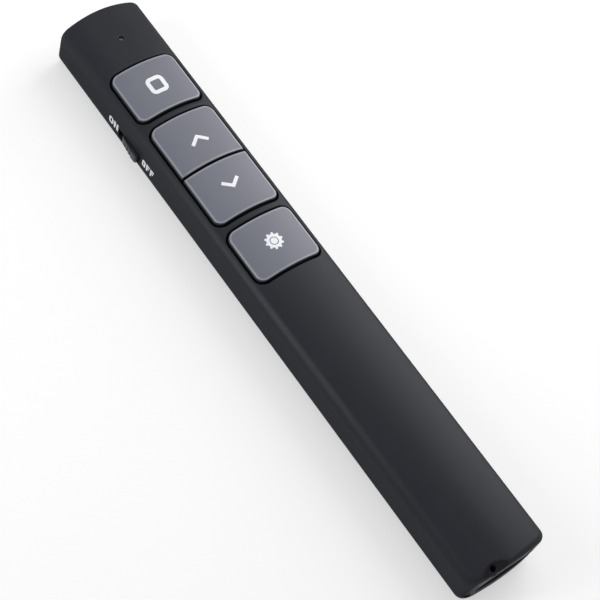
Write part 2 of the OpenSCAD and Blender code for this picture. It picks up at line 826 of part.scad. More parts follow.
module power_knob() {
    knob_out_x = half_w + knob_proud;
    plate_x = in_half_w - 0.05;
    low_y = knob_y - knob_l / 2;
    color("#26272c") difference() {
        union() {
            // Plate behind the wall
            block([-plate_x, -plate_x + knob_plate_t],
                [knob_y - knob_plate_l / 2 + slider_travel / 2, knob_y + knob_plate_l / 2 + slider_travel / 2 - slider_travel],
                [slide_z - slot_gap_h - 0.45, slide_z + slot_gap_h + 0.25]);
            // Wedge through the slot, highest near its rear end
            translate([0, 0, slide_z - knob_h / 2]) linear_extrude(knob_h) {
                polygon([[-plate_x + 0.1, low_y], [-knob_out_x + 0.25, low_y],
                    [-knob_out_x, low_y + 0.3], [-knob_out_x, low_y + 1.4],
                    [-half_w - 0.45 * knob_proud, low_y + knob_l - 0.5],
                    [-half_w - 0.1, low_y + knob_l], [-plate_x + 0.1, low_y + knob_l]]);
            }
        }
        // Pocket for the slide switch's stem
        block([-stem_reach - 0.05, 0], [knob_y - stem_half - 0.04, knob_y + stem_half + 0.04],
            [slide_z - 0.44, slide_z + 0.44]);
        // Finger grooves
        for (i = [0 : 2]) {
            translate([-half_w - 0.95 * knob_proud + i * 0.1, low_y + 2.2 + i * 1.1, 0]) {
                cylinder(r = 0.22, h = body_h);
            }
        }
    }
}

module slide_switch_case() {
    color("#b4b6bb") difference() {
        block([-board_half_w, -board_half_w + slide_case_w],
            [knob_y + slider_travel / 2 - slide_case_l / 2, knob_y + slider_travel / 2 + slide_case_l / 2],
            [board_low_z - slide_case_h, board_low_z]);
        block([-board_half_w - 1, -board_half_w + 1.1],
            [knob_y - stem_half - 0.15, knob_y + slider_travel + stem_half + 0.15],
            [slide_z - 0.5, slide_z + 0.5]);
    }
}

module slide_switch_stem() {
    color("#1b1c1f") block([-stem_reach, -board_half_w + 1],
        [knob_y - stem_half, knob_y + stem_half], [slide_z - 0.4, slide_z + 0.4]);
}

// ---------- laser ----------

module laser_barrel() {
    color("#b58a45") difference() {
        rod(0, laser_z, [barrel_end_y, barrel_front_y], barrel_r);
        rod(0, laser_z, [barrel_end_y - 1, barrel_front_y - 2.2], diode_r);
        rod(0, laser_z, [barrel_end_y, barrel_front_y + 1], 1.2);
        rod(0, laser_z, [barrel_front_y - 1.6, barrel_front_y + 1], lens_r);
    }
}

// Collimating lens with one bulging face
module laser_lens() {
    color("#cfe0ea") difference() {
        rod(0, laser_z, [barrel_front_y - 1.6, barrel_front_y - 0.4], lens_r);
        translate([0, barrel_front_y - 0.4, laser_z]) rotate([90, 0, 0]) difference() {
            cylinder(r = 3, h = 1, center = true);
            translate([0, 0, 4.5]) sphere(4.5);
        }
    }
}

module laser_diode() {
    color("#c9a24a") union() {
        rod(0, laser_z, [barrel_end_y + 0.6, barrel_end_y + 1.8], diode_r);
        rod(0, laser_z, [barrel_end_y + 1.8, barrel_end_y + 4.2], 1.6);
        for (x = [-0.7, 0.7]) {
            rod(x, laser_z, [board_front_y - 0.9, barrel_end_y + 0.6 + tiny], pin_r);
        }
    }
}

module nose_window() {
    color("#5a1520") rod(0, laser_z, [in_nose_y + 0.02, nose_y - window_lip], window_r);
}

// ---------- battery ----------

module battery_tray() {
    color("#3a3b40") difference() {
        union() {
            block([-tray_half_w, tray_half_w], [tray_end_y, tray_front_y], [tray_low_z, tray_top_z]);
            // Ear under the middle boss
            block([-boss_r, boss_r], [tray_front_y - tiny, fix_y], [ear_low_z, fix_boss_z]);
            post(0, fix_y, [ear_low_z, fix_boss_z], boss_r);
            // Hooks that reach the side walls above the cover's rails
            both_sides() {
                for (y = [cell_front_y - 6, (cell_front_y + cell_end_y) / 2, cell_end_y + 6]) {
                    block([tray_half_w - tiny, in_half_w - 0.05], [y - 1.5, y + 1.5],
                        [lip_top_z + 0.5, lip_top_z + 2.5]);
                }
            }
        }
        // Bay for the cell and the spring, open above and below
        rod(0, cell_z, [cell_end_y - 0.3, cell_front_y + 0.05], bay_r);
        block([-bay_r, bay_r], [cell_end_y - 0.3, cell_front_y + 0.05], [0, cell_z]);
        block([-contact_half - 0.1, contact_half + 0.1], [plate_y - 0.02, cell_end_y], [0, body_h]);
        block([-contact_half - 0.1, contact_half + 0.1], [cell_front_y, tray_front_y - tray_wall],
            [0, body_h]);
        // Slots for the contacts' tabs
        block([0, lead_x], [cell_front_y, cell_front_y + contact_t + 0.06], [tab_low_z - 0.05, body_h]);
        block([-lead_x, 0], [plate_y - 0.03, plate_y + contact_t + 0.03], [tab_low_z - 0.05, body_h]);
        // Corners for the tray screws and their bosses
        both_sides() {
            post(tray_screw_x, tray_screw_y, [tray_ear_z, body_h], tray_boss_r + 0.1);
            post(tray_screw_x, tray_screw_y, [0, body_h], screw_hole_r);
            post(tray_screw_x, tray_screw_y, [0, tray_ear_z - ear_t], head_r + screw_play);
        }
        post(0, fix_y, [0, body_h], screw_hole_r);
        // Tunnel for the receiver's plug
        block([-plug_w / 2 - receiver_gap, plug_w / 2 + receiver_gap],
            [tray_end_y - 1, plate_y - tray_wall - 0.02], [tunnel_low_z, tunnel_top_z]);
        // Channels for the leads
        both_sides() {
            block([lead_x - lead_r - 0.1, tray_half_w + 1], [plate_y - 0.1, tray_front_y + 1],
                [lead_z - lead_r - 0.1, body_h]);
        }
    }
}

// AAA cell: can, steel nub at the front and a shrunk sleeve's step
module battery_cell() {
    color("#8d9096") union() {
        rod(0, cell_z, [cell_end_y, cell_front_y - 0.8], cell_r - 0.1);
        rod(0, cell_z, [cell_end_y + 0.5, cell_front_y - 1.3], cell_r);
        rod(0, cell_z, [cell_front_y - 0.9, cell_front_y], 1.9);
    }
}

// Contact plates, each with a tab for its lead
module contact_plate(y, side) {
    color("#c3c5c9") union() {
        block([-contact_half, contact_half], [y, y + contact_t], [contact_low_z, tray_top_z]);
        block([side > 0 ? 0 : -lead_x - 0.3, side > 0 ? lead_x + 0.3 : 0], [y, y + contact_t],
            [tab_low_z, tray_top_z]);
    }
}

module positive_contact() { contact_plate(cell_front_y + 0.03, 1); }
module negative_contact() { contact_plate(plate_y, -1); }

// Cone spring between the plate and the cell's flat end
function spring_at(t) = let (
        turn = 360 * spring_turns * t,
        r = spring_big_r + (spring_small_r - spring_big_r) * t
    ) [r * cos(turn), spring_from_y + (spring_to_y - spring_from_y) * t, cell_z + r * sin(turn)];

function spring_ring(t) = let (
        turn = 360 * spring_turns * t,
        c = spring_at(t),
        out = [cos(turn), 0, sin(turn)]
    ) [for (k = [0 : spring_sides - 1]) let (a = 360 * k / spring_sides)
        c + spring_wire_r * (cos(a) * out + sin(a) * [0, 1, 0])];

module battery_spring() {
    rings = round(spring_turns * spring_steps);
    points = [for (i = [0 : rings]) each spring_ring(i / rings)];
    sides = [for (i = [0 : rings - 1], k = [0 : spring_sides - 1]) let (
            a = i * spring_sides + k,
            b = i * spring_sides + (k + 1) % spring_sides
        ) each [[a, b, b + spring_sides], [a, b + spring_sides, a + spring_sides]]];
    first = [[for (k = [spring_sides - 1 : -1 : 0]) k]];
    last = [[for (k = [0 : spring_sides - 1]) rings * spring_sides + k]];
    color("#d5d7da") polyhedron(points, concat(sides, first, last), convexity = 8);
}

// Leads from the contacts, over the board's rear edge
module lead(side, from_y) {
    drop_y = tray_front_y + 1.2;
    pad_z = board_top_z + lead_r + 0.03;
    x = side * lead_x;
    union() {
        rod(x, lead_z, [from_y, drop_y], lead_r);
        translate([x, drop_y, lead_z]) sphere(lead_r);
        post(x, drop_y, [pad_z, lead_z], lead_r);
        translate([x, drop_y, pad_z]) sphere(lead_r);
        rod(x, pad_z, [drop_y, keys_end_y + 2.5], lead_r);
    }
}

module battery_leads() {
    color("#a02626") lead(1, cell_front_y + contact_t + 0.05);
    color("#1a1a1c") lead(-1, plate_y + contact_t + 0.02);
}

// ---------- receiver ----------

module receiver_cap() {
    color("#1c1d20") difference() {
        translate([0, cap_front_y, receiver_z]) rotate([90, 0, 0]) {
            linear_extrude(cap_l) round_rect(cap_w, cap_h, 0.9);
        }
        // Nail grooves above and below
        for (side = [-1, 1]) {
            translate([0, cap_end_y + 1.2, receiver_z + side * (cap_h / 2 + 0.15)]) {
                rotate([0, 90, 0]) cylinder(r = 0.5, h = cap_w * 0.6, center = true);
            }
        }
    }
}

module receiver_shell() {
    in_w = plug_w / 2 - plug_shell_t;
    in_h = plug_h / 2 - plug_shell_t;
    color("#c6c8cc") difference() {
        block([-plug_w / 2, plug_w / 2], [cap_front_y, plug_tip_y - 0.05],
            [receiver_z - plug_h / 2, receiver_z + plug_h / 2]);
        block([-in_w, in_w], [cap_front_y - 1, nose_y], [receiver_z - in_h, receiver_z + in_h]);
        both_sides() {
            block([latch_x - latch_w / 2, latch_x + latch_w / 2],
                [plug_tip_y - latch_back - latch_l, plug_tip_y - latch_back], [0, body_h]);
        }
    }
}

module receiver_tongue() {
    in_w = plug_w / 2 - plug_shell_t - 0.02;
    color("#e9e9e6") block([-in_w, in_w], [cap_front_y, tongue_tip_y],
        [receiver_z - plug_h / 2 + plug_shell_t + 0.02, tongue_top_z]);
}

module receiver_contacts() {
    color("#d8b24c") both_sides() for (x = [strip_in_x, strip_out_x]) {
        block([x - strip_w / 2, x + strip_w / 2], [cap_front_y + 0.2, tongue_tip_y - 0.6],
            [tongue_top_z, tongue_top_z + 0.15]);
    }
}

// ---------- screws ----------

module housing_screws() {
    color("#9a9ca1") {
        both_sides() {
            screw(nose_screw_x, nose_screw_y, seat_low_z, screw_r,
                nose_boss_z + nose_bite - seat_low_z, head_r);
        }
        screw(0, fix_y, seat_low_z, screw_r, fix_boss_z + fix_bite - seat_low_z, head_r);
    }
}

module board_screws() {
    color("#9a9ca1") both_sides() {
        screw(board_screw_x, board_screw_y, board_low_z, board_pilot_r - screw_play,
            board_t + board_bite, board_head_r);
    }
}

module tray_screws() {
    color("#9a9ca1") both_sides() {
        screw(tray_screw_x, tray_screw_y, tray_ear_z - ear_t, screw_r, ear_t + fix_bite, head_r);
    }
}

upper_housing();
lower_housing();
battery_cover();
stop_key();
page_up_key();
page_down_key();
pointer_key();
stop_plunger();
page_up_plunger();
page_down_plunger();
pointer_plunger();
tact_bases();
tact_covers();
snap_domes();
circuit_board();
radio_chip();
crystal_can();
chip_parts();
status_led();
light_pipe();
power_knob();
slide_switch_case();
slide_switch_stem();
laser_barrel();
laser_lens();
laser_diode();
nose_window();
battery_tray();
battery_cell();
positive_contact();
negative_contact();
battery_spring();
battery_leads();
receiver_cap();
receiver_shell();
receiver_tongue();
receiver_contacts();
housing_screws();
board_screws();
tray_screws();
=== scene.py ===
"""Looks of a slim wireless presentation clicker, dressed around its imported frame.

Sizes are written in millimetres and turned into metres where a mesh is made. X runs across the
body, +Y points to the laser nose, +Z to the keys, and the underside lies on Z = 0.
"""

import json
import logging
import math
from dataclasses import dataclass
from enum import Enum
from typing import Callable, Iterable, Mapping, Optional, Sequence, Union

import bmesh
import bpy
from mathutils import Euler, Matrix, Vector

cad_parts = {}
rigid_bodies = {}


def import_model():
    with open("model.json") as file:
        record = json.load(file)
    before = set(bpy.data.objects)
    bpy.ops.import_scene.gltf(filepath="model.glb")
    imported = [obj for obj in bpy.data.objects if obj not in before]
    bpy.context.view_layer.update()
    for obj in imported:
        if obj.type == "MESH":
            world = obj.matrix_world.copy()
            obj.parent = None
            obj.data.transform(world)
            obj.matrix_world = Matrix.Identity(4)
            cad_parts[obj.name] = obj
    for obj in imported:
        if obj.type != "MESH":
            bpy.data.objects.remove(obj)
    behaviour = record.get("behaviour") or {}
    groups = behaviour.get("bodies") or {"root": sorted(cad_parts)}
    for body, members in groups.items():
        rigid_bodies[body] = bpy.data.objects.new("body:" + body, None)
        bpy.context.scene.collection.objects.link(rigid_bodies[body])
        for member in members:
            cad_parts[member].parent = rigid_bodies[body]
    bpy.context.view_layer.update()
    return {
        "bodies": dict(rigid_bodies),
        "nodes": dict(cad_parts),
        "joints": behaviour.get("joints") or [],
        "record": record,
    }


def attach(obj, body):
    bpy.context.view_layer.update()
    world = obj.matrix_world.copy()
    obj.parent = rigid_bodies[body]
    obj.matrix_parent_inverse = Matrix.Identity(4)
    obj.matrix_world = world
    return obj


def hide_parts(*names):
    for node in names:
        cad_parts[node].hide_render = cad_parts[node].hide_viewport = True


MM = 0.001
Flat = tuple[float, float]
Place = tuple[float, float, float]
Piece = bpy.types.Object
Node = bpy.types.Node
Socket = bpy.types.NodeSocket
Tree = bpy.types.NodeTree
Sockets = Mapping[str, Socket]
Feed = dict[Union[str, int], object]
Fill = Callable[[Tree, Sockets], list[Socket]]
Placing = Callable[[float, float, float], Place]
Box = tuple[Flat, Flat, Flat]
log = logging.getLogger("clicker")

# What all finishes share: sizes per metre, shares, and the ranges that an effect answers to.
RESIN_IOR = 1.49
COAT_ROUGHNESS = 0.12
PEBBLES = 0.6
WEAR_SCALE, TOUCH_SCALE, MARKS_PER_PATCH = 900, 60, 7
RUBBED_SMOOTHER, RIM_SMOOTHER = 0.15, 0.08
CLOUD, CONVEX, PATCHES, GRAZING = (0.3, 0.7), (0.52, 0.62), (0.5, 0.68), (0.3, 0.65)
# Ranges of a key's edge distance for the painted rim highlight and for the painted shade on its
# sides.
RIM_HIGHLIGHT_BAND, RIM_SHADE_FOOT = (0.7, 0.4), (0.3, 0.16)


# ---------- finishes ----------


def srgb(red: int, green: int, blue: int) -> Place:
    """Linear light of a colour that is given as 0 to 255 screen values."""
    shares = [value / 255 for value in (red, green, blue)]
    linear = [s / 12.92 if s <= 0.04045 else ((s + 0.055) / 1.055) ** 2.4 for s in shares]
    return (linear[0], linear[1], linear[2])


class Skin(Enum):
    """Ways in which the fine relief of a surface runs."""

    GRAIN = "moulded pebbles"
    DRAWN = "lines of a drawn or turned metal"


def fed(tree: Tree, node: Node, inputs: Feed) -> Node:
    """Set or wire a node's inputs.

    Args:
        tree: The tree that holds the node.
        node: The node.
        inputs: A value or a feeding socket for each input, by name or number.

    Returns:
        The node.
    """
    for label, value in inputs.items():
        if isinstance(value, Socket):
            tree.links.new(value, node.inputs[label])
        else:
            node.inputs[label].default_value = value
    return node


def added(tree: Tree, kind: str, inputs: Optional[Feed] = None, **settings: object) -> Node:
    """Add a node.

    Args:
        tree: The tree to add it to.
        kind: Blender's name for the kind of node.
        inputs: A value or a feeding socket for each input, by name or number.
        settings: The node's own settings, made before its inputs are.

    Returns:
        The node.
    """
    node = tree.nodes.new(kind)
    for label, value in settings.items():
        setattr(node, label, value)
    return fed(tree, node, inputs or {})


def noise(tree: Tree, place: Socket, scale: Socket, detail: int) -> Socket:
    """Cloudy value between 0 and 1 over a place."""
    return added(tree, "ShaderNodeTexNoise", {"Vector": place, "Scale": scale,
                                              "Detail": detail}).outputs["Fac"]


def maths(tree: Tree, what: str, first: Union[Socket, float],
          second: Union[Socket, float]) -> Socket:
    """Result of a sum on two sockets or numbers."""
    return added(tree, "ShaderNodeMath", {0: first, 1: second}, operation=what).outputs["Value"]


def ranged(tree: Tree, value: Socket, given: Flat, wanted: Flat = (0, 1)) -> Socket:
    """A value moved from one range to another and held inside it."""
    return added(tree, "ShaderNodeMapRange",
                 {"Value": value, "From Min": given[0], "From Max": given[1],
                  "To Min": wanted[0], "To Max": wanted[1]}).outputs["Result"]


def blended(tree: Tree, share: Socket, first: Socket, second: Union[Socket, Place]) -> Socket:
    """A colour between two colours, of which the second may be linear values."""
    other = (*second, 1) if isinstance(second, tuple) else second
    return added(tree, "ShaderNodeMix", {"Factor": share, 6: first, 7: other},
                 data_type="RGBA").outputs[2]


class Trees:
    """Node trees with named inputs and outputs, each built once."""

    def __init__(self) -> None:
        """Start with no tree built."""
        self._made: dict[str, Tree] = {}

    def _built(self, name: str, family: str, inputs: dict[str, str], outputs: dict[str, str],
               fill: Fill) -> Tree:
        """Build a tree, or return it if it is there.

        Args:
            name: Name of the tree.
            family: Shader or Geometry.
            inputs: Kind of each input, by name.
            outputs: Kind of each output, by name.
            fill: Adds the working nodes and returns the sockets for the outputs, in order.

        Returns:
            The tree.
        """
        if name not in self._made:
            tree = bpy.data.node_groups.new(name, f"{family}NodeTree")
            for way, kinds in (("INPUT", inputs), ("OUTPUT", outputs)):
                for label, kind in kinds.items():
                    tree.interface.new_socket(label, in_out=way, socket_type=f"NodeSocket{kind}")
            start, end = tree.nodes.new("NodeGroupInput"), tree.nodes.new("NodeGroupOutput")
            for label, socket in zip(outputs, fill(tree, start.outputs)):
                tree.links.new(socket, end.inputs[label])
            self._made[name] = tree
        return self._made[name]


class Effects(Trees):
    """Shared shader groups: drifting tone, fine relief, rubbed edges and touch marks."""

    MASK_INPUTS = {"Place": "Vector", "Scale": "Float", "Amount": "Float"}

    @staticmethod
    def put(tree: Tree, group: Tree, place: Socket, **values: object) -> Sockets:
        """Put a group into a material, with its inputs' values, and return its outputs."""
        return added(tree, "ShaderNodeGroup", {"Place": place, **values},
                     node_tree=group).outputs

    def tone(self) -> Tree:
        """Group that lets a colour drift between a darker and a lighter tone."""

        def fill(tree: Tree, given: Sockets) -> list[Socket]:
            """Mix both tones by a slow cloud."""
            spread = ranged(tree, noise(tree, given["Place"], given["Scale"], 4), CLOUD)
            return [blended(tree, spread, given["Dark"], given["Light"]), spread]

        return self._built("Drifting tone", "Shader", {
            "Place": "Vector", "Dark": "Color", "Light": "Color", "Scale": "Float"},
            {"Color": "Color", "Mask": "Float"}, fill)

    def relief(self) -> Tree:
        """Group for moulded pebbles, or for fine lines where the place is stretched."""

        def fill(tree: Tree, given: Sockets) -> list[Socket]:
            """Add rounded cells to a fine cloud."""
            pulled = added(tree, "ShaderNodeVectorMath", {0: given["Place"], 1: given["Stretch"]},
                           operation="MULTIPLY").outputs["Vector"]
            cloud = noise(tree, pulled, given["Scale"], 3)
            cells = added(tree, "ShaderNodeTexVoronoi",
                          {"Vector": pulled, "Scale": given["Scale"]}, feature="SMOOTH_F1")
            pebbles = maths(tree, "MULTIPLY", cells.outputs["Distance"], given["Pebbles"])
            return [maths(tree, "ADD", pebbles, cloud), cloud]

        return self._built("Fine relief", "Shader", {
            "Place": "Vector", "Stretch": "Vector", "Scale": "Float", "Pebbles": "Float"},
            {"Height": "Float", "Speckle": "Float"}, fill)

    def wear(self) -> Tree:
        """Group that finds the rubbed, slightly polished places along convex edges."""

        def fill(tree: Tree, given: Sockets) -> list[Socket]:
            """Break the convex edges up with a cloud."""
            shape = added(tree, "ShaderNodeNewGeometry")
            edge = ranged(tree, shape.outputs["Pointiness"], CONVEX)
            broken = maths(tree, "MULTIPLY", edge, noise(tree, given["Place"], given["Scale"], 5))
            return [maths(tree, "MULTIPLY", broken, given["Amount"])]

        return self._built("Rubbed edges", "Shader", self.MASK_INPUTS, {"Mask": "Float"}, fill)

    def touch(self) -> Tree:
        """Group for faint touch marks that make a surface a little smoother in patches."""

        def fill(tree: Tree, given: Sockets) -> list[Socket]:
            """Keep ridged marks inside a few broad patches."""
            patch = ranged(tree, noise(tree, given["Place"], given["Scale"], 2), PATCHES)
            fine = maths(tree, "MULTIPLY", given["Scale"], MARKS_PER_PATCH)
            marks = maths(tree, "MULTIPLY", patch, noise(tree, given["Place"], fine, 3))
            return [maths(tree, "MULTIPLY", marks, given["Amount"])]

        return self._built("Touch marks", "Shader", self.MASK_INPUTS, {"Mask": "Float"}, fill)


@dataclass(frozen=True)
class Finish:
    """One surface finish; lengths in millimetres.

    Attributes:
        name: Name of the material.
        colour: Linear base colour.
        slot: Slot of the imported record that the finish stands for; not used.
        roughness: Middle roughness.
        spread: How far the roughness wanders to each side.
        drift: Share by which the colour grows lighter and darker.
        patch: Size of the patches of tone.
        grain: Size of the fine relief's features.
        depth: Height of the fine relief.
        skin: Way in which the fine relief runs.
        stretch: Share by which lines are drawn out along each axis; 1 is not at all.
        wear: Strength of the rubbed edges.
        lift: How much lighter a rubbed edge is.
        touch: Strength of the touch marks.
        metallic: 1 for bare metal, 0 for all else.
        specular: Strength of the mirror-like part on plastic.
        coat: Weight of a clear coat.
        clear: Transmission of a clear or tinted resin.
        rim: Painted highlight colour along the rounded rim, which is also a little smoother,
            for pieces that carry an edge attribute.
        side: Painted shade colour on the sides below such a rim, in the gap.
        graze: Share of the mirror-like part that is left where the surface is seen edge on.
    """

    name: str
    colour: Place
    slot: Optional[str] = None
    roughness: float = 0.5
    spread: float = 0.06
    drift: float = 0.08
    patch: float = 9.0
    grain: float = 0.14
    depth: float = 0.01
    skin: Skin = Skin.GRAIN
    stretch: Place = (1.0, 1.0, 1.0)
    wear: float = 0.0
    lift: float = 1.6
    touch: float = 0.0
    metallic: float = 0.0
    specular: float = 0.5
    coat: float = 0.0
    clear: float = 0.0
    # A key's rim colour is a painted highlight, and its side colour is painted shade in the gap.
    rim: Optional[Place] = None
    side: Place = (0.01, 0.01, 0.012)
    graze: float = 1.0

    def material(self, effects: Effects) -> bpy.types.Material:
        """Build the node material, or return it if it is there.

        Args:
            effects: The shared groups.

        Returns:
            The material.
        """
        found = bpy.data.materials.get(self.name)
        if found is not None:
            return found
        made = bpy.data.materials.new(self.name)
        made.use_nodes = True
        made.diffuse_color = (*self.colour, 1)
        tree = made.node_tree
        place = added(tree, "ShaderNodeTexCoord").outputs["Object"]
        tone = effects.put(tree, effects.tone(), place, Scale=1 / (self.patch * MM),
                           Dark=(*self._toned(1 - self.drift), 1),
                           Light=(*self._toned(1 + self.drift), 1))
        relief = effects.put(tree, effects.relief(), place, Scale=1 / (self.grain * MM),
                             Stretch=self.stretch,
                             Pebbles=PEBBLES if self.skin is Skin.GRAIN else 0.0)
        colour = tone["Color"]
        mixed = maths(tree, "MULTIPLY", 0.5, maths(tree, "ADD", relief["Speckle"], tone["Mask"]))
        roughness = ranged(tree, mixed, CLOUD,
                           (self.roughness - self.spread, self.roughness + self.spread))
        if self.wear > 0:
            mask = effects.put(tree, effects.wear(), place, Scale=WEAR_SCALE,
                               Amount=self.wear)["Mask"]
            colour = blended(tree, mask, colour, self._toned(self.lift))
            roughness = self._smoother(tree, roughness, mask, RUBBED_SMOOTHER)
        if self.touch > 0:
            mask = effects.put(tree, effects.touch(), place, Scale=TOUCH_SCALE,
                               Amount=self.touch)["Mask"]
            roughness = self._smoother(tree, roughness, mask, 1)
        # Painted highlight along the rim and painted shade on the sides below it; the rim is also
        # smoother.
        if self.rim is not None:
            inset = added(tree, "ShaderNodeAttribute", attribute_name="edge").outputs["Fac"]
            band = ranged(tree, inset, RIM_HIGHLIGHT_BAND)
            colour = blended(tree, band, colour, self.rim)
            colour = blended(tree, ranged(tree, inset, RIM_SHADE_FOOT), colour, self.side)
            roughness = self._smoother(tree, roughness, band, RIM_SMOOTHER)
        bump = added(tree, "ShaderNodeBump", {"Distance": self.depth * MM,
                                              "Height": relief["Height"]})
        shader = fed(tree, tree.nodes["Principled BSDF"], {
            "Metallic": self.metallic, "Specular IOR Level": self.specular, "IOR": RESIN_IOR,
            "Coat Weight": self.coat, "Coat Roughness": COAT_ROUGHNESS,
            "Transmission Weight": self.clear, "Base Color": colour, "Roughness": roughness,
            "Normal": bump.outputs["Normal"]})
        if self.graze < 1:
            facing = added(tree, "ShaderNodeLayerWeight").outputs["Facing"]
            fed(tree, shader, {"Specular IOR Level": ranged(
                tree, facing, GRAZING, (self.specular, self.specular * self.graze))})
        return made

    def _toned(self, share: float) -> Place:
        """The base colour, made darker or lighter."""
        red, green, blue = (c * share for c in self.colour)
        return (red, green, blue)

    @staticmethod
    def _smoother(tree: Tree, roughness: Socket, mask: Socket, share: float) -> Socket:
        """Roughness that falls by a share where a mask is set."""
        return maths(tree, "SUBTRACT", roughness, maths(tree, "MULTIPLY", mask, share))


ALONG = (1.0, 0.06, 1.0)
ROUND_Y = (0.03, 1.0, 0.03)
SOFT_TOP = Finish("soft touch top", srgb(39, 41, 47), "soft_touch_top", 0.37, 0.03, 0.06, 16,
                  0.12, 0.008, wear=0.25, lift=1.5, touch=0.08, specular=0.13, graze=0.1)
SOFT_BASE = Finish("soft touch base", srgb(37, 37, 42), "soft_touch_base", 0.42, 0.04, 0.06, 16,
                   0.16, 0.013, wear=0.25, lift=1.5, touch=0.08, specular=0.13, graze=0.1)
# Darker colour is painted shade in the strap eye's scoop; the surface there is also rougher.
SHADED_SCOOP = Finish("scoop painted shade", srgb(33, 33, 38), "soft_touch_top", 0.55, 0.04, 0.06, 4,
                    0.12, 0.004, specular=0.1)
# The keys' rim colour is a painted highlight on their rounded rims.
KEY_GREY = Finish("key satin grey", srgb(114, 116, 128), "key_grey", 0.42, 0.03, 0.03, 11,
                  0.1, 0.003, wear=0.2, lift=1.3, touch=0.1, specular=0.36,
                  rim=srgb(158, 160, 170))
PRINT_WHITE = Finish("white pad print", srgb(250, 251, 255), None, 0.4, 0.04, 0.004, 2, 0.08,
                     0.002, specular=0.6)
KNOB_BLACK = Finish("knob black", srgb(38, 39, 43), "knob_black", 0.46, 0.05, 0.08, 4, 0.12,
                    0.006, wear=0.5, lift=2.0, specular=0.35)
SWITCH_BLACK = Finish("switch black", srgb(34, 34, 37), "switch_black", 0.5, 0.06, 0.1, 3, 0.1,
                      0.006, wear=0.2)
TRAY_BLACK = Finish("tray black", srgb(52, 53, 57), "tray_black", 0.52, 0.06, 0.08, 6, 0.18,
                    0.012, wear=0.3)
TONGUE_WHITE = Finish("tongue white", srgb(228, 227, 220), "white_plastic", 0.4, 0.05, 0.03, 4,
                      0.1, 0.004)
STAMPED_STEEL = Finish("stamped steel", srgb(196, 198, 202), "stamped_steel", 0.34, 0.08, 0.08,
                       3, 0.12, 0.003, Skin.DRAWN, ALONG, metallic=1)
NICKEL = Finish("bright nickel", srgb(205, 206, 208), "nickel_plate", 0.24, 0.08, 0.06, 4, 0.16,
                0.002, Skin.DRAWN, ALONG, metallic=1)
TINNED = Finish("tinned leg", srgb(190, 192, 194), "stamped_steel", 0.3, 0.08, 0.1, 1, 0.1,
                0.003, metallic=1)
CELL_STEEL = Finish("cell steel", srgb(198, 199, 201), "cell_sleeve", 0.26, 0.06, 0.05, 3, 0.1,
                    0.002, Skin.DRAWN, ROUND_Y, metallic=1)
BRASS = Finish("turned brass", srgb(198, 162, 96), "brass_turned", 0.32, 0.07, 0.08, 5, 0.1,
               0.004, Skin.DRAWN, ROUND_Y, metallic=1)
GOLD = Finish("gold plate", srgb(222, 184, 98), "gold_plate", 0.26, 0.06, 0.06, 3, 0.1, 0.002,
              metallic=1)
BOARD_GREEN = Finish("solder mask green", srgb(30, 92, 62), "board_green", 0.3, 0.06, 0.1, 3,
                     0.35, 0.008, coat=0.3)
BOARD_EDGE = Finish("board edge", srgb(150, 146, 96), "board_green", 0.6, 0.06, 0.12, 1, 0.2,
                    0.01, Skin.GRAIN, (1.0, 1.0, 4.0))
CHIP_BLACK = Finish("moulded epoxy", srgb(36, 36, 38), "chip_black", 0.58, 0.06, 0.1, 2, 0.08,
                    0.008)
CERAMIC_TAN = Finish("ceramic tan", srgb(176, 142, 104), "chip_parts_tan", 0.5, 0.06, 0.12, 1,
                     0.08, 0.004)
LED_WHITE = Finish("light housing white", srgb(236, 233, 220), "led_white", 0.25, 0.05, 0.03, 1,
                   0.1, 0.002, coat=0.5)
LED_DOT = Finish("light yellow gel", srgb(226, 196, 84), "led_white", 0.2, 0.04, 0.05, 1, 0.2,
                 0.002, coat=0.6)
ACRYLIC = Finish("clear acrylic", srgb(232, 238, 242), "clear_acrylic", 0.08, 0.03, 0.02, 4, 0.3,
                 0.001, clear=1.0)
SMOKED = Finish("smoked acrylic", srgb(26, 27, 30), "clear_acrylic", 0.1, 0.03, 0.03, 4, 0.3,
                0.001, clear=0.7)
RED_WINDOW = Finish("red tinted window", srgb(110, 14, 28), "red_window", 0.08, 0.03, 0.05, 4,
                    0.3, 0.001, clear=0.6, specular=0.3)
CELL_SLEEVE = Finish("cell sleeve", srgb(96, 100, 110), "cell_sleeve", 0.3, 0.05, 0.05, 7, 0.3,
                     0.003, Skin.DRAWN, (1.0, 0.1, 1.0), coat=0.5)
CELL_BAND = Finish("cell copper band", srgb(176, 112, 70), "cell_sleeve", 0.28, 0.05, 0.05, 5,
                   0.3, 0.003, Skin.DRAWN, (1.0, 0.1, 1.0), metallic=0.6, coat=0.5)
LEAD_RED = Finish("lead red", srgb(160, 30, 30), "lead_pvc", 0.35, 0.05, 0.06, 3, 0.2, 0.004)
LEAD_BLACK = Finish("lead black", srgb(32, 32, 34), "lead_pvc", 0.35, 0.05, 0.06, 3, 0.2, 0.004)
SCREW_STEEL = Finish("zinc screw steel", srgb(168, 170, 174), "screw_steel", 0.34, 0.08, 0.08, 1,
                     0.08, 0.003, metallic=1)

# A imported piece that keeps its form: node, finish, radius of its edges and steps on each.
Remade = tuple[str, Finish, float, int]


# ---------- mesh making ----------


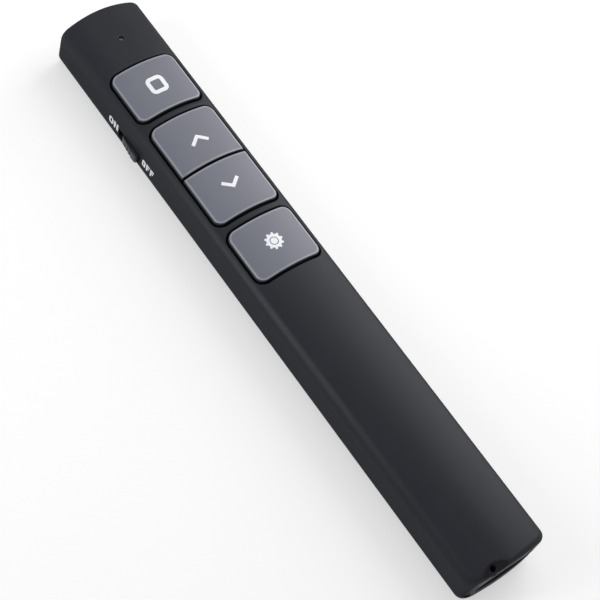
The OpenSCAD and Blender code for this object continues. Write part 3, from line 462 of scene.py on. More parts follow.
class Solid:
    """A closed mesh under construction, in millimetres."""

    def __init__(self) -> None:
        """Start with no points."""
        self.points: list[Place] = []
        self.faces: list[tuple[int, ...]] = []

    def add(self, ring: Iterable[Place]) -> list[int]:
        """Add points and return their numbers."""
        first = len(self.points)
        self.points.extend(ring)
        return list(range(first, len(self.points)))

    def loft(self, rings: Sequence[Sequence[Place]]) -> "Solid":
        """Join rings of equally many points into a tube that is closed at both ends.

        Args:
            rings: The rings in order. A ring of one point is a pole.

        Returns:
            The solid itself.
        """
        rows = [self.add(ring) for ring in rings]
        for low, high in zip(rows, rows[1:]):
            for i in range(max(len(low), len(high))):
                face = (low[i % len(low)], low[(i + 1) % len(low)], high[(i + 1) % len(high)],
                        high[i % len(high)])
                self.faces.append(tuple(dict.fromkeys(face)))
        for row in (rows[0], rows[-1]):
            if len(row) > 1:
                spots = [self.points[i] for i in row]
                hub = self.add([tuple(sum(s[axis] for s in spots) / len(spots)
                                      for axis in range(3))])[0]
                self.faces.extend((row[i - 1], row[i], hub) for i in range(len(row)))
        return self

    def belt(self, outer: Sequence[Place], inner: Sequence[Place], low_inner: Sequence[Place],
             low_outer: Sequence[Place], closed: bool = True) -> "Solid":
        """Join four loops of equally many points into a ring-shaped solid.

        Args:
            outer: Outer loop above.
            inner: Inner loop above.
            low_inner: Inner loop below.
            low_outer: Outer loop below.
            closed: False for an open stretch of such a ring.

        Returns:
            The solid itself.
        """
        rows = [self.add(line) for line in (outer, inner, low_inner, low_outer)]
        for row, these in enumerate(rows):
            those = rows[(row + 1) % 4]
            for i in range(0 if closed else 1, len(these)):
                self.faces.append((these[i - 1], these[i], those[i], those[i - 1]))
        return self

    def mesh(self, name: str) -> bpy.types.Mesh:
        """Make the Blender mesh in metres, with its faces pointing outwards."""
        made = bpy.data.meshes.new(name)
        made.from_pydata([metres(p) for p in self.points], [], self.faces)
        work = bmesh.new()
        work.from_mesh(made)
        bmesh.ops.remove_doubles(work, verts=work.verts, dist=1e-7)
        bmesh.ops.recalc_face_normals(work, faces=work.faces)
        if work.calc_volume(signed=True) < 0:
            bmesh.ops.reverse_faces(work, faces=work.faces)
        work.to_mesh(made)
        work.free()
        return made

    def piece(self, name: str) -> Piece:
        """Link a new object that holds the mesh."""
        return fresh(name, self.mesh(name))


def metres(place: Place) -> Place:
    """A place in metres."""
    return (place[0] * MM, place[1] * MM, place[2] * MM)


def turns(start: float, stop: float, steps: int) -> list[float]:
    """Angles in radians between two angles in degrees, both included."""
    return [math.radians(start + (stop - start) * i / steps) for i in range(steps + 1)]


def arc(middle: Flat, radius: float, start: float, stop: float, steps: int) -> list[Flat]:
    """Points of an arc, both ends included; angles in degrees."""
    return [(middle[0] + radius * math.cos(a), middle[1] + radius * math.sin(a))
            for a in turns(start, stop, steps)]


def circle(radius: float, sides: int, middle: Flat = (0, 0)) -> list[Flat]:
    """Points of a full circle, counterclockwise."""
    return arc(middle, radius, 0, 360 - 360 / sides, sides - 1)


def line_of(corners: Sequence[Flat], step: float) -> list[Flat]:
    """A bent line with more points, no further apart than the step."""
    made = [corners[0]]
    for start, stop in zip(corners, corners[1:]):
        count = max(1, math.ceil(math.dist(start, stop) / step))
        made.extend((start[0] + (stop[0] - start[0]) * i / count,
                     start[1] + (stop[1] - start[1]) * i / count) for i in range(1, count + 1))
    return made


def round_loop(width: float, length: float, radii: Sequence[float], steps: int = 8,
               side: float = 0.7) -> list[Flat]:
    """Closed outline of a rectangle with its own radius at each corner.

    Args:
        width: Size along the first axis.
        length: Size along the second axis.
        radii: Radii at the corners (+, +), (-, +), (-, -) and (+, -).
        steps: Points on each corner.
        side: Longest step on the straight sides.

    Returns:
        The outline, counterclockwise.
    """
    loop: list[Flat] = []
    for turn, sx, sy, radius in zip((0, 90, 180, 270), (1, -1, -1, 1), (1, 1, -1, -1), radii):
        middle = (sx * (width / 2 - radius), sy * (length / 2 - radius))
        corner = arc(middle, radius, turn, turn + 90, steps)
        if loop:
            loop.extend(line_of([loop[-1], corner[0]], side)[1:-1])
        loop.extend(corner)
    loop.extend(line_of([loop[-1], loop[0]], side)[1:-1])
    return loop


def pushed(loop: Sequence[Flat], offset: float, middle: Flat = (0, 0)) -> list[Flat]:
    """A counterclockwise outline pushed outwards by an offset and put around a middle."""
    made = []
    for i, (a, b) in enumerate(loop):
        before, after = loop[i - 1], loop[(i + 1) % len(loop)]
        dx, dy = after[0] - before[0], after[1] - before[1]
        size = math.hypot(dx, dy) or 1
        made.append((a + dy / size * offset + middle[0], b - dx / size * offset + middle[1]))
    return made


def fresh(name: str, mesh: bpy.types.Mesh) -> Piece:
    """Link a new object that holds the mesh."""
    made = bpy.data.objects.new(name, mesh)
    bpy.context.scene.collection.objects.link(made)
    return made


def applied(piece: Piece) -> Piece:
    """Turn the piece's modifiers into its mesh and take them off."""
    graph = bpy.context.evaluated_depsgraph_get()
    graph.update()
    result = bpy.data.meshes.new_from_object(piece.evaluated_get(graph), depsgraph=graph)
    piece.modifiers.clear()
    piece.data = result
    return piece


class Join(Enum):
    """What a tool does to the solid that it meets."""

    CUT = "DIFFERENCE"
    WELD = "UNION"


class Workpiece:
    """A solid piece that is cut and welded with other solids."""

    def __init__(self, piece: Piece) -> None:
        """Start from a closed piece."""
        self.piece = piece
        self._tools: list[Piece] = []

    def work(self, how: Join, *tools: Union[Solid, Piece]) -> "Workpiece":
        """Queue cuts or welds.

        Args:
            how: Whether the tools cut or weld.
            tools: The solids or pieces to do it with; pieces are used up.

        Returns:
            The workpiece itself.
        """
        for tool in tools:
            other = tool.piece("tool") if isinstance(tool, Solid) else tool
            self._tools.append(other)
            step = self.piece.modifiers.new("step", "BOOLEAN")
            step.operation = how.value
            step.solver = "MANIFOLD"
            step.object = other
        return self

    def done(self) -> Piece:
        """Carry out the queued work and return the piece."""
        applied(self.piece)
        for tool in self._tools:
            bpy.data.objects.remove(tool)
        self._tools = []
        return self.piece


def joined(name: str, pieces: Sequence[Piece]) -> Piece:
    """Put several plain pieces into one new object and remove them."""
    work = bmesh.new()
    for piece in pieces:
        work.from_mesh(piece.data)
        bpy.data.objects.remove(piece)
    mesh = bpy.data.meshes.new(name)
    work.to_mesh(mesh)
    work.free()
    return fresh(name, mesh)


def smooth(piece: Piece, angle: float = 32) -> Piece:
    """Shade smooth up to an angle, with large faces leading the normals."""
    piece.data.shade_smooth()
    piece.data.set_sharp_from_angle(angle=math.radians(angle))
    weigh = piece.modifiers.new("weigh", "WEIGHTED_NORMAL")
    weigh.keep_sharp = True
    return applied(piece)


def rounded(piece: Piece, radius: float, steps: int = 2, angle: float = 30) -> Piece:
    """Round every edge that is sharper than an angle."""
    edge = piece.modifiers.new("round", "BEVEL")
    edge.width = radius * MM
    edge.segments = steps
    edge.limit_method = "ANGLE"
    edge.angle_limit = math.radians(angle)
    return applied(piece)


def block(x: Flat, y: Flat, z: Flat, side: int = 1) -> Solid:
    """A block between two corners; side -1 puts it on the other side of the body."""
    ring = [(side * a, b) for a, b in ((x[0], y[0]), (x[1], y[0]), (x[1], y[1]), (x[0], y[1]))]
    return Solid().loft([[(a, b, height) for a, b in ring] for height in z])


def upright(a: float, b: float, h: float) -> Place:
    """X, Y and Z of a cross-section that stands on Z."""
    return (a, b, h)


def along(a: float, b: float, h: float) -> Place:
    """X, Y and Z of a cross-section that lies along Y."""
    return (a, h, b)


def turned(profile: Sequence[Flat], sides: int, at: Place = (0, 0, 0),
           place: Placing = upright) -> Solid:
    """A solid turned on a lathe.

    Args:
        profile: Radius and place along the axis, from one end to the other; 0 is a pole.
        sides: Points around the axis.
        at: Where the profile's zero is.
        place: Turns two cross values and the place along the axis into X, Y and Z.

    Returns:
        The solid.
    """
    rings = []
    for radius, level in profile:
        around = [(0.0, 0.0)] if radius == 0 else circle(radius, sides)
        rings.append([tuple(v + start for v, start in zip(place(a, b, level), at))
                      for a, b in around])
    return Solid().loft(rings)


def post(x: float, y: float, z: Flat, radius: float, sides: int = 40) -> Solid:
    """An upright round post between two heights."""
    return turned([(radius, level) for level in z], sides, (x, y, 0))


def rod(x: float, z: float, y: Flat, radius: float, sides: int = 40) -> Solid:
    """A round rod along the body between two places."""
    return turned([(radius, level) for level in y], sides, (x, 0, z), along)


def flared(loop: Sequence[Flat], middle: Flat, surface: Callable[[float, float], float],
           inside: float, rounding: float, place: Placing = upright) -> Solid:
    """A cutter that leaves a rounded edge where its hole meets the surface.

    Args:
        loop: Outline of the hole about its own middle, counterclockwise.
        middle: Where the hole is.
        surface: Height of the surface along the hole's axis.
        inside: Height at which the cutter ends inside the body.
        rounding: Radius of the edge.
        place: Turns the two outline values and the height into X, Y and Z.

    Returns:
        The cutter.
    """
    around = pushed(loop, 0, middle)
    peak = max(surface(a, b) for a, b in around) + 1
    rings = [[place(a, b, inside) for a, b in around]]
    for turn in turns(0, 75, 5):
        wide = pushed(loop, rounding * (1 - math.cos(turn)), middle)
        sink = rounding * (1 - math.sin(turn))
        rings.append([place(a, b, surface(a, b) - sink) for a, b in wide])
    wide = pushed(loop, 1.35 * rounding, middle)
    rings.append([place(a, b, surface(a, b) + 0.2 * rounding) for a, b in wide])
    rings.append([place(a, b, peak) for a, b in wide])
    return Solid().loft(rings)


# ---------- repeated and swept pieces ----------


class Patterns(Trees):
    """Geometry node trees that lay copies in a row or round a wheel, or sweep a wire."""

    def _pattern(self, name: str, inputs: dict[str, str], fill: Fill) -> Tree:
        """Build a tree that ends in Realize Instances and Set Material.

        Args:
            name: Name of the tree.
            inputs: Kind of each input between the geometry and the skin, by name.
            fill: Adds the working nodes and returns the socket of their geometry.

        Returns:
            The tree.
        """

        def whole(tree: Tree, given: Sockets) -> list[Socket]:
            """Put the two last nodes after the working nodes."""
            real = added(tree, "GeometryNodeRealizeInstances", {"Geometry": fill(tree, given)[0]})
            return [added(tree, "GeometryNodeSetMaterial", {
                "Geometry": real.outputs["Geometry"],
                "Material": given["Skin"]}).outputs["Geometry"]]

        return self._built(name, "Geometry", {"Geometry": "Geometry", **inputs,
                                              "Skin": "Material"}, {"Geometry": "Geometry"}, whole)

    @staticmethod
    def _copies(tree: Tree, given: Sockets, step: Union[Socket, Place],
                **more: Socket) -> Socket:
        """Put a copy of the geometry on each point of a line."""
        line = added(tree, "GeometryNodeMeshLine",
                     {"Count": given["Count"], "Start Location": given["Start"],
                      "Offset": step}, mode="OFFSET")
        return added(tree, "GeometryNodeInstanceOnPoints",
                     {"Points": line.outputs["Mesh"], "Instance": given["Geometry"],
                      **more}).outputs["Instances"]

    @staticmethod
    def _baked(piece: Piece, tree: Tree, **values: object) -> Piece:
        """Run a tree on a piece with its inputs set, and keep the result as a plain mesh."""
        step = piece.modifiers.new(tree.name, "NODES")
        step.node_group = tree
        for socket in tree.interface.items_tree:
            if socket.in_out == "INPUT" and socket.name in values:
                step[socket.identifier] = values[socket.name]
        return applied(piece)

    def row(self, piece: Piece, count: int, step: Place, start: Place = (0, 0, 0)) -> Piece:
        """Repeat a piece along a line.

        Args:
            piece: The piece to repeat.
            count: How many there are.
            step: From one copy to the next, in millimetres.
            start: From the piece's own place to the first copy, in millimetres.

        Returns:
            The same object with all copies.
        """

        def fill(tree: Tree, given: Sockets) -> list[Socket]:
            """Lay the copies by the given step."""
            return [self._copies(tree, given, given["Step"])]

        tree = self._pattern("Row of copies", {"Count": "Int", "Start": "Vector",
                                               "Step": "Vector"}, fill)
        return self._baked(piece, tree, Count=count, Start=metres(start), Step=metres(step))

    def spread(self, piece: Piece, places: Sequence[Place]) -> Piece:
        """Replace a piece by copies of it in several places.

        Args:
            piece: The piece to copy, which is used up.
            places: From the piece's own place to each copy, in millimetres.

        Returns:
            All copies as one new object of the same name.
        """
        name = piece.name
        parts = [self.row(fresh(name, piece.data.copy()), 1, (0, 0, 0), place)
                 for place in places]
        bpy.data.objects.remove(piece)
        return joined(name, parts)

    def wheel(self, piece: Piece, count: int, start: Place = (0, 0, 0)) -> Piece:
        """Repeat a piece round the upright axis of a wheel.

        Args:
            piece: The piece to repeat, drawn about the origin.
            count: How many there are in a full turn.
            start: Middle of the wheel, in millimetres.

        Returns:
            The same object with all copies.
        """

        def fill(tree: Tree, given: Sockets) -> list[Socket]:
            """Turn each copy by its share of a full turn."""
            number = added(tree, "GeometryNodeInputIndex")
            angle = maths(tree, "MULTIPLY", number.outputs["Index"],
                          maths(tree, "DIVIDE", math.tau, given["Count"]))
            axis = added(tree, "ShaderNodeCombineXYZ", {"Z": angle})
            return [self._copies(tree, given, (0, 0, 0), Rotation=axis.outputs["Vector"])]

        tree = self._pattern("Wheel of copies", {"Count": "Int", "Start": "Vector"}, fill)
        return self._baked(piece, tree, Count=count, Start=metres(start))

    def wire(self, name: str, path: Sequence[Place], radius: float, sides: int = 14) -> Piece:
        """Sweep a round wire along a path.

        Args:
            name: Name of the piece.
            path: Points along the wire's middle, in millimetres.
            radius: Radius of the wire.
            sides: Points around it.

        Returns:
            The wire's object.
        """

        def fill(tree: Tree, given: Sockets) -> list[Socket]:
            """Sweep a circle along the path and close its ends."""
            course = added(tree, "GeometryNodeMeshToCurve", {"Mesh": given["Geometry"]})
            ring = added(tree, "GeometryNodeCurvePrimitiveCircle",
                         {"Resolution": given["Sides"], "Radius": given["Radius"]})
            return [added(tree, "GeometryNodeCurveToMesh", {
                "Curve": course.outputs["Curve"], "Profile Curve": ring.outputs["Curve"],
                "Fill Caps": True}).outputs["Mesh"]]

        tree = self._pattern("Swept wire", {"Sides": "Int", "Radius": "Float"}, fill)
        line = bpy.data.meshes.new(name)
        line.from_pydata([metres(p) for p in path],
                         [(i, i + 1) for i in range(len(path) - 1)], [])
        return self._baked(fresh(name, line), tree, Sides=sides, Radius=radius * MM)


@dataclass
class Bench:
    """What every maker below shares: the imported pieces, the shader groups and the patterns."""

    nodes: dict[str, Piece]
    effects: Effects
    patterns: Patterns

    def copy_of(self, node: str, radius: float = 0.0, steps: int = 2) -> Piece:
        """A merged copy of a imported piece, with its edges rounded.

        Args:
            node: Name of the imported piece.
            radius: Radius of its edges, or 0 for none.
            steps: Steps on each rounded edge.

        Returns:
            The copy.
        """
        mesh = self.nodes[node].data.copy()
        work = bmesh.new()
        work.from_mesh(mesh)
        bmesh.ops.remove_doubles(work, verts=work.verts, dist=1e-6)
        bmesh.ops.dissolve_limit(work, angle_limit=math.radians(0.5), verts=work.verts,
                                 edges=work.edges)
        work.to_mesh(mesh)
        work.free()
        piece = fresh(f"{node}_made", mesh)
        return rounded(piece, radius, steps) if radius > 0 else piece

    def settle(self, piece: Piece, body: str, *finishes: Finish, node: str = "",
               angle: float = 32, pick: Optional[Callable[[Place], int]] = None) -> None:
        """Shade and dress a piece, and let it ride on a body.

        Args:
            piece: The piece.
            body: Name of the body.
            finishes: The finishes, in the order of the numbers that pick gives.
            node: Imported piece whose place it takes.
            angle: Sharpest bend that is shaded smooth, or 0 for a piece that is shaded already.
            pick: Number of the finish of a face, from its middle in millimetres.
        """
        if angle > 0:
            smooth(piece, angle)
        piece.data.materials.clear()
        for finish in finishes:
            piece.data.materials.append(finish.material(self.effects))
        if pick is not None:
            for face in piece.data.polygons:
                face.material_index = pick(tuple(face.center / MM))
        if node:
            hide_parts(node)
        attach(piece, body)
        log.info("%s on %s: %d faces", piece.name, body, len(piece.data.polygons))

    def remake(self, body: str, *rows: Remade) -> None:
        """Round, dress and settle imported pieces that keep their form.

        Args:
            body: Name of the body.
            rows: Node, finish, radius of the edges or 0 for none, and steps on each edge.
        """
        for node, finish, radius, steps in rows:
            self.settle(self.copy_of(node, radius, steps), body, finish, node=node)


# ---------- the housing's form ----------


@dataclass(frozen=True)
class Spot:
    """A point of the body's cross-section and the way in which it rolls over the ends."""

    x: float
    z: float
    in_x: float
    in_z: float
    flat: bool = False


@dataclass(frozen=True)
class End:
    """One end of the body: bulge, corners and edges seen from above, and backward lean."""

    face_y: float
    bulge_r: float
    corner_r: float
    roll_r: float
    sign: int
    lean: float = 0.0

    def face(self, x: float, z: float = 0.0) -> float:
        """Place of the end face along the body at x and z."""
        sag = self.bulge_r - math.sqrt(self.bulge_r ** 2 - x * x)
        return self.face_y - self.sign * (sag + self.lean * max(0.0, z - self.roll_r))


@dataclass
class BodyForm:
    """Outer and inner form of the slim body, from which the housing pieces are cut."""

    half_w: float = 10.0
    height: float = 13.3
    crown_r: float = 22.0
    shoulder_r: float = 3.0
    shoulder_z: float = 8.96
    keel_r: float = 3.5
    wall: float = 1.4
    top_wall: float = 1.3
    floor: float = 1.2
    seam_z: float = 2.6
    seam_gap: float = 0.06
    rim_r: float = 0.16
    inside_y: Flat = (-73.2, 72.8)
    nose: End = End(75, 84, 1.2, 0.9, 1, math.tan(math.radians(3.6)))
    tail: End = End(-75, 70, 2.0, 0.9, -1)
    ring_step: float = 1.0
    cut_z: float = 8.7

    @property
    def crown_z(self) -> float:
        """Height of the crown's axis."""
        return self.height - self.crown_r

    @property
    def shoulder_x(self) -> float:
        """Distance of the shoulder's axis from the middle."""
        return self.half_w - self.shoulder_r

    @property
    def shoulder_turn(self) -> float:
        """Angle at which the shoulder meets the crown."""
        return 90 - math.degrees(math.asin(self.shoulder_x / (self.crown_r - self.shoulder_r)))

    def top(self, x: float, _: float = 0) -> float:
        """Height of the outer top surface at x, which is the same all along the body."""
        edge = self.crown_r * math.cos(math.radians(self.shoulder_turn))
        if abs(x) <= edge:
            return self.crown_z + math.sqrt(self.crown_r ** 2 - x * x)
        reach = min(self.shoulder_r, abs(x) - self.shoulder_x)
        return self.shoulder_z + math.sqrt(max(0.0, self.shoulder_r ** 2 - reach ** 2))

    def hollow_top(self, x: float) -> float:
        """Height of the hollow's crown at x."""
        return self.crown_z + math.sqrt((self.crown_r - self.top_wall) ** 2 - x * x)

    def side(self, z: float) -> float:
        """Half width of the outer form at a height below the shoulder."""
        drop = max(0.0, self.keel_r - z)
        return self.half_w - self.keel_r + math.sqrt(max(0.0, self.keel_r ** 2 - drop ** 2))

    def under(self, x: float) -> float:
        """Height of the outer underside at x."""
        reach = max(0.0, abs(x) - (self.half_w - self.keel_r))
        return self.keel_r - math.sqrt(max(0.0, self.keel_r ** 2 - reach ** 2))

    def _rim(self, level: float, way: int) -> list[Spot]:
        """The small rounded rim at the seam; way is 1 above the seam and -1 below it."""
        edge = self.side(level + way * self.rim_r)
        return [Spot(edge - self.rim_r, level, -1, 0),
                Spot(edge - 0.3 * self.rim_r, level + way * 0.3 * self.rim_r, -1, 0)]

    def upper_spots(self) -> list[Spot]:
        """Cross-section of the upper housing's outer form."""
        low = self.seam_z
        foot = low + self.rim_r
        right = self._rim(low, 1)
        for z in (foot, (foot + self.keel_r) / 2, self.keel_r):
            right.append(Spot(self.side(z), z, -1, 0))
        for i in range(1, 9):
            right.append(Spot(self.half_w, self.keel_r + (self.shoulder_z - self.keel_r) * i / 9,
                              -1, 0))
        for middle, radius, start, stop, steps in (
                ((self.shoulder_x, self.shoulder_z), self.shoulder_r, 0, self.shoulder_turn, 9),
                ((0, self.crown_z), self.crown_r, self.shoulder_turn, 90, 15)):
            for angle, (x, z) in zip(turns(start, stop, steps),
                                     arc(middle, radius, start, stop, steps)):
                right.append(Spot(x, z, -math.cos(angle), -math.sin(angle)))
        return self._whole(right, low)

    def lower_spots(self) -> list[Spot]:
        """Cross-section of the outer form of what closes the body below."""
        high = self.seam_z - self.seam_gap
        start = math.degrees(math.asin((high - self.rim_r - self.keel_r) / self.keel_r))
        middle_x = self.half_w - self.keel_r
        right = self._rim(high, -1)
        for angle, (x, z) in zip(turns(0, -90, 11),
                                 arc((middle_x, self.keel_r), self.keel_r, start, -90, 11)):
            right.append(Spot(x, z, -math.cos(angle), -math.sin(angle)))
        right.extend(Spot(middle_x * (1 - i / 9), 0, 0, 1) for i in range(1, 10))
        return self._whole(right, high)

    @staticmethod
    def _whole(right: list[Spot], level: float) -> list[Spot]:
        """Mirror the right side and close it with a level line at the seam."""
        kept = [right[0]]
        for spot in right[1:]:
            if math.dist((spot.x, spot.z), (kept[-1].x, kept[-1].z)) > 1e-4:
                kept.append(spot)
        left = [Spot(-s.x, s.z, -s.in_x, s.in_z) for s in reversed(kept) if abs(s.x) > 1e-4]
        start, stop = left[-1].x, kept[0].x
        return kept + left + [Spot(start + (stop - start) * i / 10, level, 0, 0, True)
                              for i in range(1, 10)]

    def _ring(self, spots: Sequence[Spot], end: End, turn: float) -> list[Place]:
        """One ring of the rolled end; turn is 0 on the sides and 90 on the end face."""
        away = 1 - math.cos(math.radians(turn))
        back = 1 - math.sin(math.radians(turn))
        ring = []
        for spot in spots:
            if spot.flat:
                roll = end.corner_r
                x, z = spot.x * (1 - roll * away / self.half_w), spot.z
                core = abs(x)
            else:
                roll = end.roll_r + (end.corner_r - end.roll_r) * abs(spot.in_x)
                x, z = spot.x + spot.in_x * roll * away, spot.z + spot.in_z * roll * away
                core = abs(spot.x) - roll * abs(spot.in_x)
            ring.append((x, end.face(core, z) - end.sign * roll * back, z))
        return ring

    def _closed_end(self, spots: Sequence[Spot], end: End) -> list[list[Place]]:
        """Rings that roll over an end and shrink to the middle of its face."""
        rings = [self._ring(spots, end, t) for t in (0, 12, 25, 38, 51, 64, 77, 90)]
        rim = rings[-1]
        mid_z = (min(p[2] for p in rim) + max(p[2] for p in rim)) / 2
        for share in (0.82, 0.6, 0.35, 0.12):
            shrunk = [(x * share, mid_z + (z - mid_z) * share) for x, _, z in rim]
            rings.append([(x, end.face(x, z), z) for x, z in shrunk])
        return rings + [[(0, end.face(0, mid_z), mid_z)]]

    def solid(self, spots: Sequence[Spot], rear: Optional[float], front: Optional[float]) -> Solid:
        """The outer form between two places along the body.

        Args:
            spots: The cross-section.
            rear: Flat rear end, or None for the rolled tail.
            front: Flat front end, or None for the rolled nose.

        Returns:
            The closed solid.
        """
        ends = []
        for flat_y, end in ((rear, self.tail), (front, self.nose)):
            ends.append(self._closed_end(spots, end) if flat_y is None
                        else [[(s.x, flat_y, s.z) for s in spots]])
        tail_rings, nose_rings = ends
        first, last = tail_rings[0], nose_rings[0]
        count = round((last[0][1] - first[0][1]) / self.ring_step)
        shaft = [[(a[0], a[1] + (b[1] - a[1]) * i / count, a[2]) for a, b in zip(first, last)]
                 for i in range(1, count)]
        return Solid().loft(list(reversed(tail_rings)) + shaft + nose_rings)

    def hollow(self) -> Solid:
        """The inner form that is cut from every housing piece."""
        low_r = self.keel_r - self.wall
        half = self.half_w - self.wall
        crown = self.crown_r - self.top_wall
        turn = self.shoulder_turn
        right = arc((half - low_r, self.floor + low_r), low_r, -90, 0, 8)
        right += arc((self.shoulder_x, self.shoulder_z), self.shoulder_r - self.wall, 0, turn, 8)
        right += arc((0, self.crown_z), crown, turn + 1.5, 90, 12)
        loop = right + [(-x, z) for x, z in reversed(right) if abs(x) > 1e-4]
        low, high = self.inside_y
        return Solid().loft([[(x, low + (high - low) * i / 24, z) for x, z in loop]
                             for i in range(25)])


# ---------- keys ----------


@dataclass(frozen=True)
class KeyPlace:
    """Where one key sits and which of its ends are outer, rounded ends."""

    body: str
    y: float
    round_front: bool
    round_rear: bool


KEY_PLACES = (KeyPlace("stop", 50.775, True, True), KeyPlace("page_up", 35.225, True, False),
              KeyPlace("page_down", 21.575, False, True), KeyPlace("pointer", 6.025, True, True))
KEY_SPOTS = tuple((0, place.y, 0) for place in KEY_PLACES)


@dataclass
class Keys:
    """The four crowned keys with painted highlight and shade at their rims, and printed signs."""

    bench: Bench
    form: BodyForm
    width: float = 16.0
    length: float = 13.35
    corner_r: float = 2.0
    inner_corner_r: float = 0.35
    gap: float = 0.4
    proud: float = 0.45
    rim_r: float = 0.5
    rim_inset: float = 1.1
    flange: float = 0.5
    flange_half: float = 6.0
    flange_top_r: float = 20.65
    flange_low_r: float = 19.8
    pad_r: float = 1.75
    pad_z: Flat = (10.85, 11.45)

    def crown(self, x: float, radius: Optional[float] = None) -> float:
        """Height at x of the keys' crown, or of another radius about the same axis."""
        return self.form.crown_z + math.sqrt((radius or self.form.crown_r + self.proud) ** 2
                                             - x * x)

    def openings(self, rounding: float) -> list[Solid]:
        """Cutters for the three openings in the upper housing."""
        stop, page_up, page_down, pointer = (place.y for place in KEY_PLACES)
        cutters = []
        for y, length in ((stop, self.length), (pointer, self.length),
                          ((page_up + page_down) / 2, page_up - page_down + self.length)):
            loop = round_loop(self.width + 2 * self.gap, length + 2 * self.gap,
                              [self.corner_r + self.gap] * 4, 10, 0.6)
            cutters.append(flared(loop, (0, y), self.form.top, self.form.cut_z, rounding))
        return cutters

    def _radii(self, place: KeyPlace) -> list[float]:
        """Corner radii of a key, in the order of round_loop."""
        front = self.corner_r if place.round_front else self.inner_corner_r
        rear = self.corner_r if place.round_rear else self.inner_corner_r
        return [front, front, rear, rear]

    def _crowned(self, line: Sequence[Flat], radius: Optional[float] = None,
                 sink: float = 0.0) -> list[Place]:
        """A line laid on the crown, or sunk below it."""
        return [(a, b, self.crown(a, radius) - sink) for a, b in line]

    def _cap(self, place: KeyPlace) -> Solid:
        """The key's cap with its rounded rim."""
        loop = round_loop(self.width, self.length, self._radii(place), 9, 0.5)
        middle, low_r = (0.0, place.y), self.flange_low_r
        rings = [[(0, place.y, self.crown(0, low_r))]]
        for share in (0.35, 0.7, 1.0):
            rings.append(self._crowned([(a * share, b * share + place.y) for a, b in loop], low_r))
        for level in (0.5, 1.0):
            rings.append([(a, b, self.crown(a, low_r) * (1 - level)
                           + (self.crown(a) - self.rim_r) * level)
                          for a, b in pushed(loop, 0, middle)])
        for turn in turns(15, 90, 5):
            ring = pushed(loop, -self.rim_r * (1 - math.cos(turn)), middle)
            rings.append(self._crowned(ring, None, self.rim_r * (1 - math.sin(turn))))
        for inset in (0.65, 0.85, self.rim_inset):
            rings.append(self._crowned(pushed(loop, -inset, middle)))
        inner = pushed(loop, -self.rim_inset)
        for share in (0.92, 0.83, 0.73, 0.62, 0.5, 0.38, 0.26, 0.13):
            rings.append(self._crowned([(a * share, b * share + place.y) for a, b in inner]))
        rings.append([(0, place.y, self.crown(0))])
        return Solid().loft(rings)

    def _flange(self, place: KeyPlace) -> Solid:
        """The hidden flange that keeps the key under the top wall."""
        reach = self.gap + self.flange
        rear = place.y - self.length / 2 + (-reach if place.round_rear else 0.01)
        front = place.y + self.length / 2 + (reach if place.round_front else -0.01)
        xs = [self.flange_half * (i / 6 - 1) for i in range(13)]
        outline = [(x, self.crown(x, self.flange_top_r)) for x in xs]
        outline += [(x, self.crown(x, self.flange_low_r) + 0.002) for x in reversed(xs)]
        return Solid().loft([[(x, y, z) for x, z in outline] for y in (rear, front)])

    def _mark_edges(self, key: Piece, place: KeyPlace) -> None:
        """Store how far inside the key's outline each point stands, in millimetres."""
        radii = self._radii(place)
        marks = key.data.attributes.new("edge", "FLOAT", "POINT")
        for mark, vertex in zip(marks.data, key.data.vertices):
            x, y = vertex.co.x / MM, vertex.co.y / MM - place.y
            radius = radii[0] if y > 0 else radii[2]
            a, b = abs(x) - self.width / 2 + radius, abs(y) - self.length / 2 + radius
            mark.value = radius - math.hypot(max(a, 0), max(b, 0)) - min(max(a, b), 0)

    def build(self) -> None:
        """Make the four keys and their signs, and let them ride on their bodies."""
        signs = Signs(self)
        for place in KEY_PLACES:
            part = Workpiece(self._cap(place).piece(f"{place.body}_key_cap"))
            part.work(Join.WELD, self._flange(place), post(0, place.y, self.pad_z, self.pad_r))
            key = smooth(part.done())
            # The edge distance places the painted rim highlight and the painted side shade.
            self._mark_edges(key, place)
            self.bench.settle(key, place.body, KEY_GREY, node=f"{place.body}_key", angle=0)
            self.bench.settle(signs.make(place), place.body, PRINT_WHITE, angle=40)


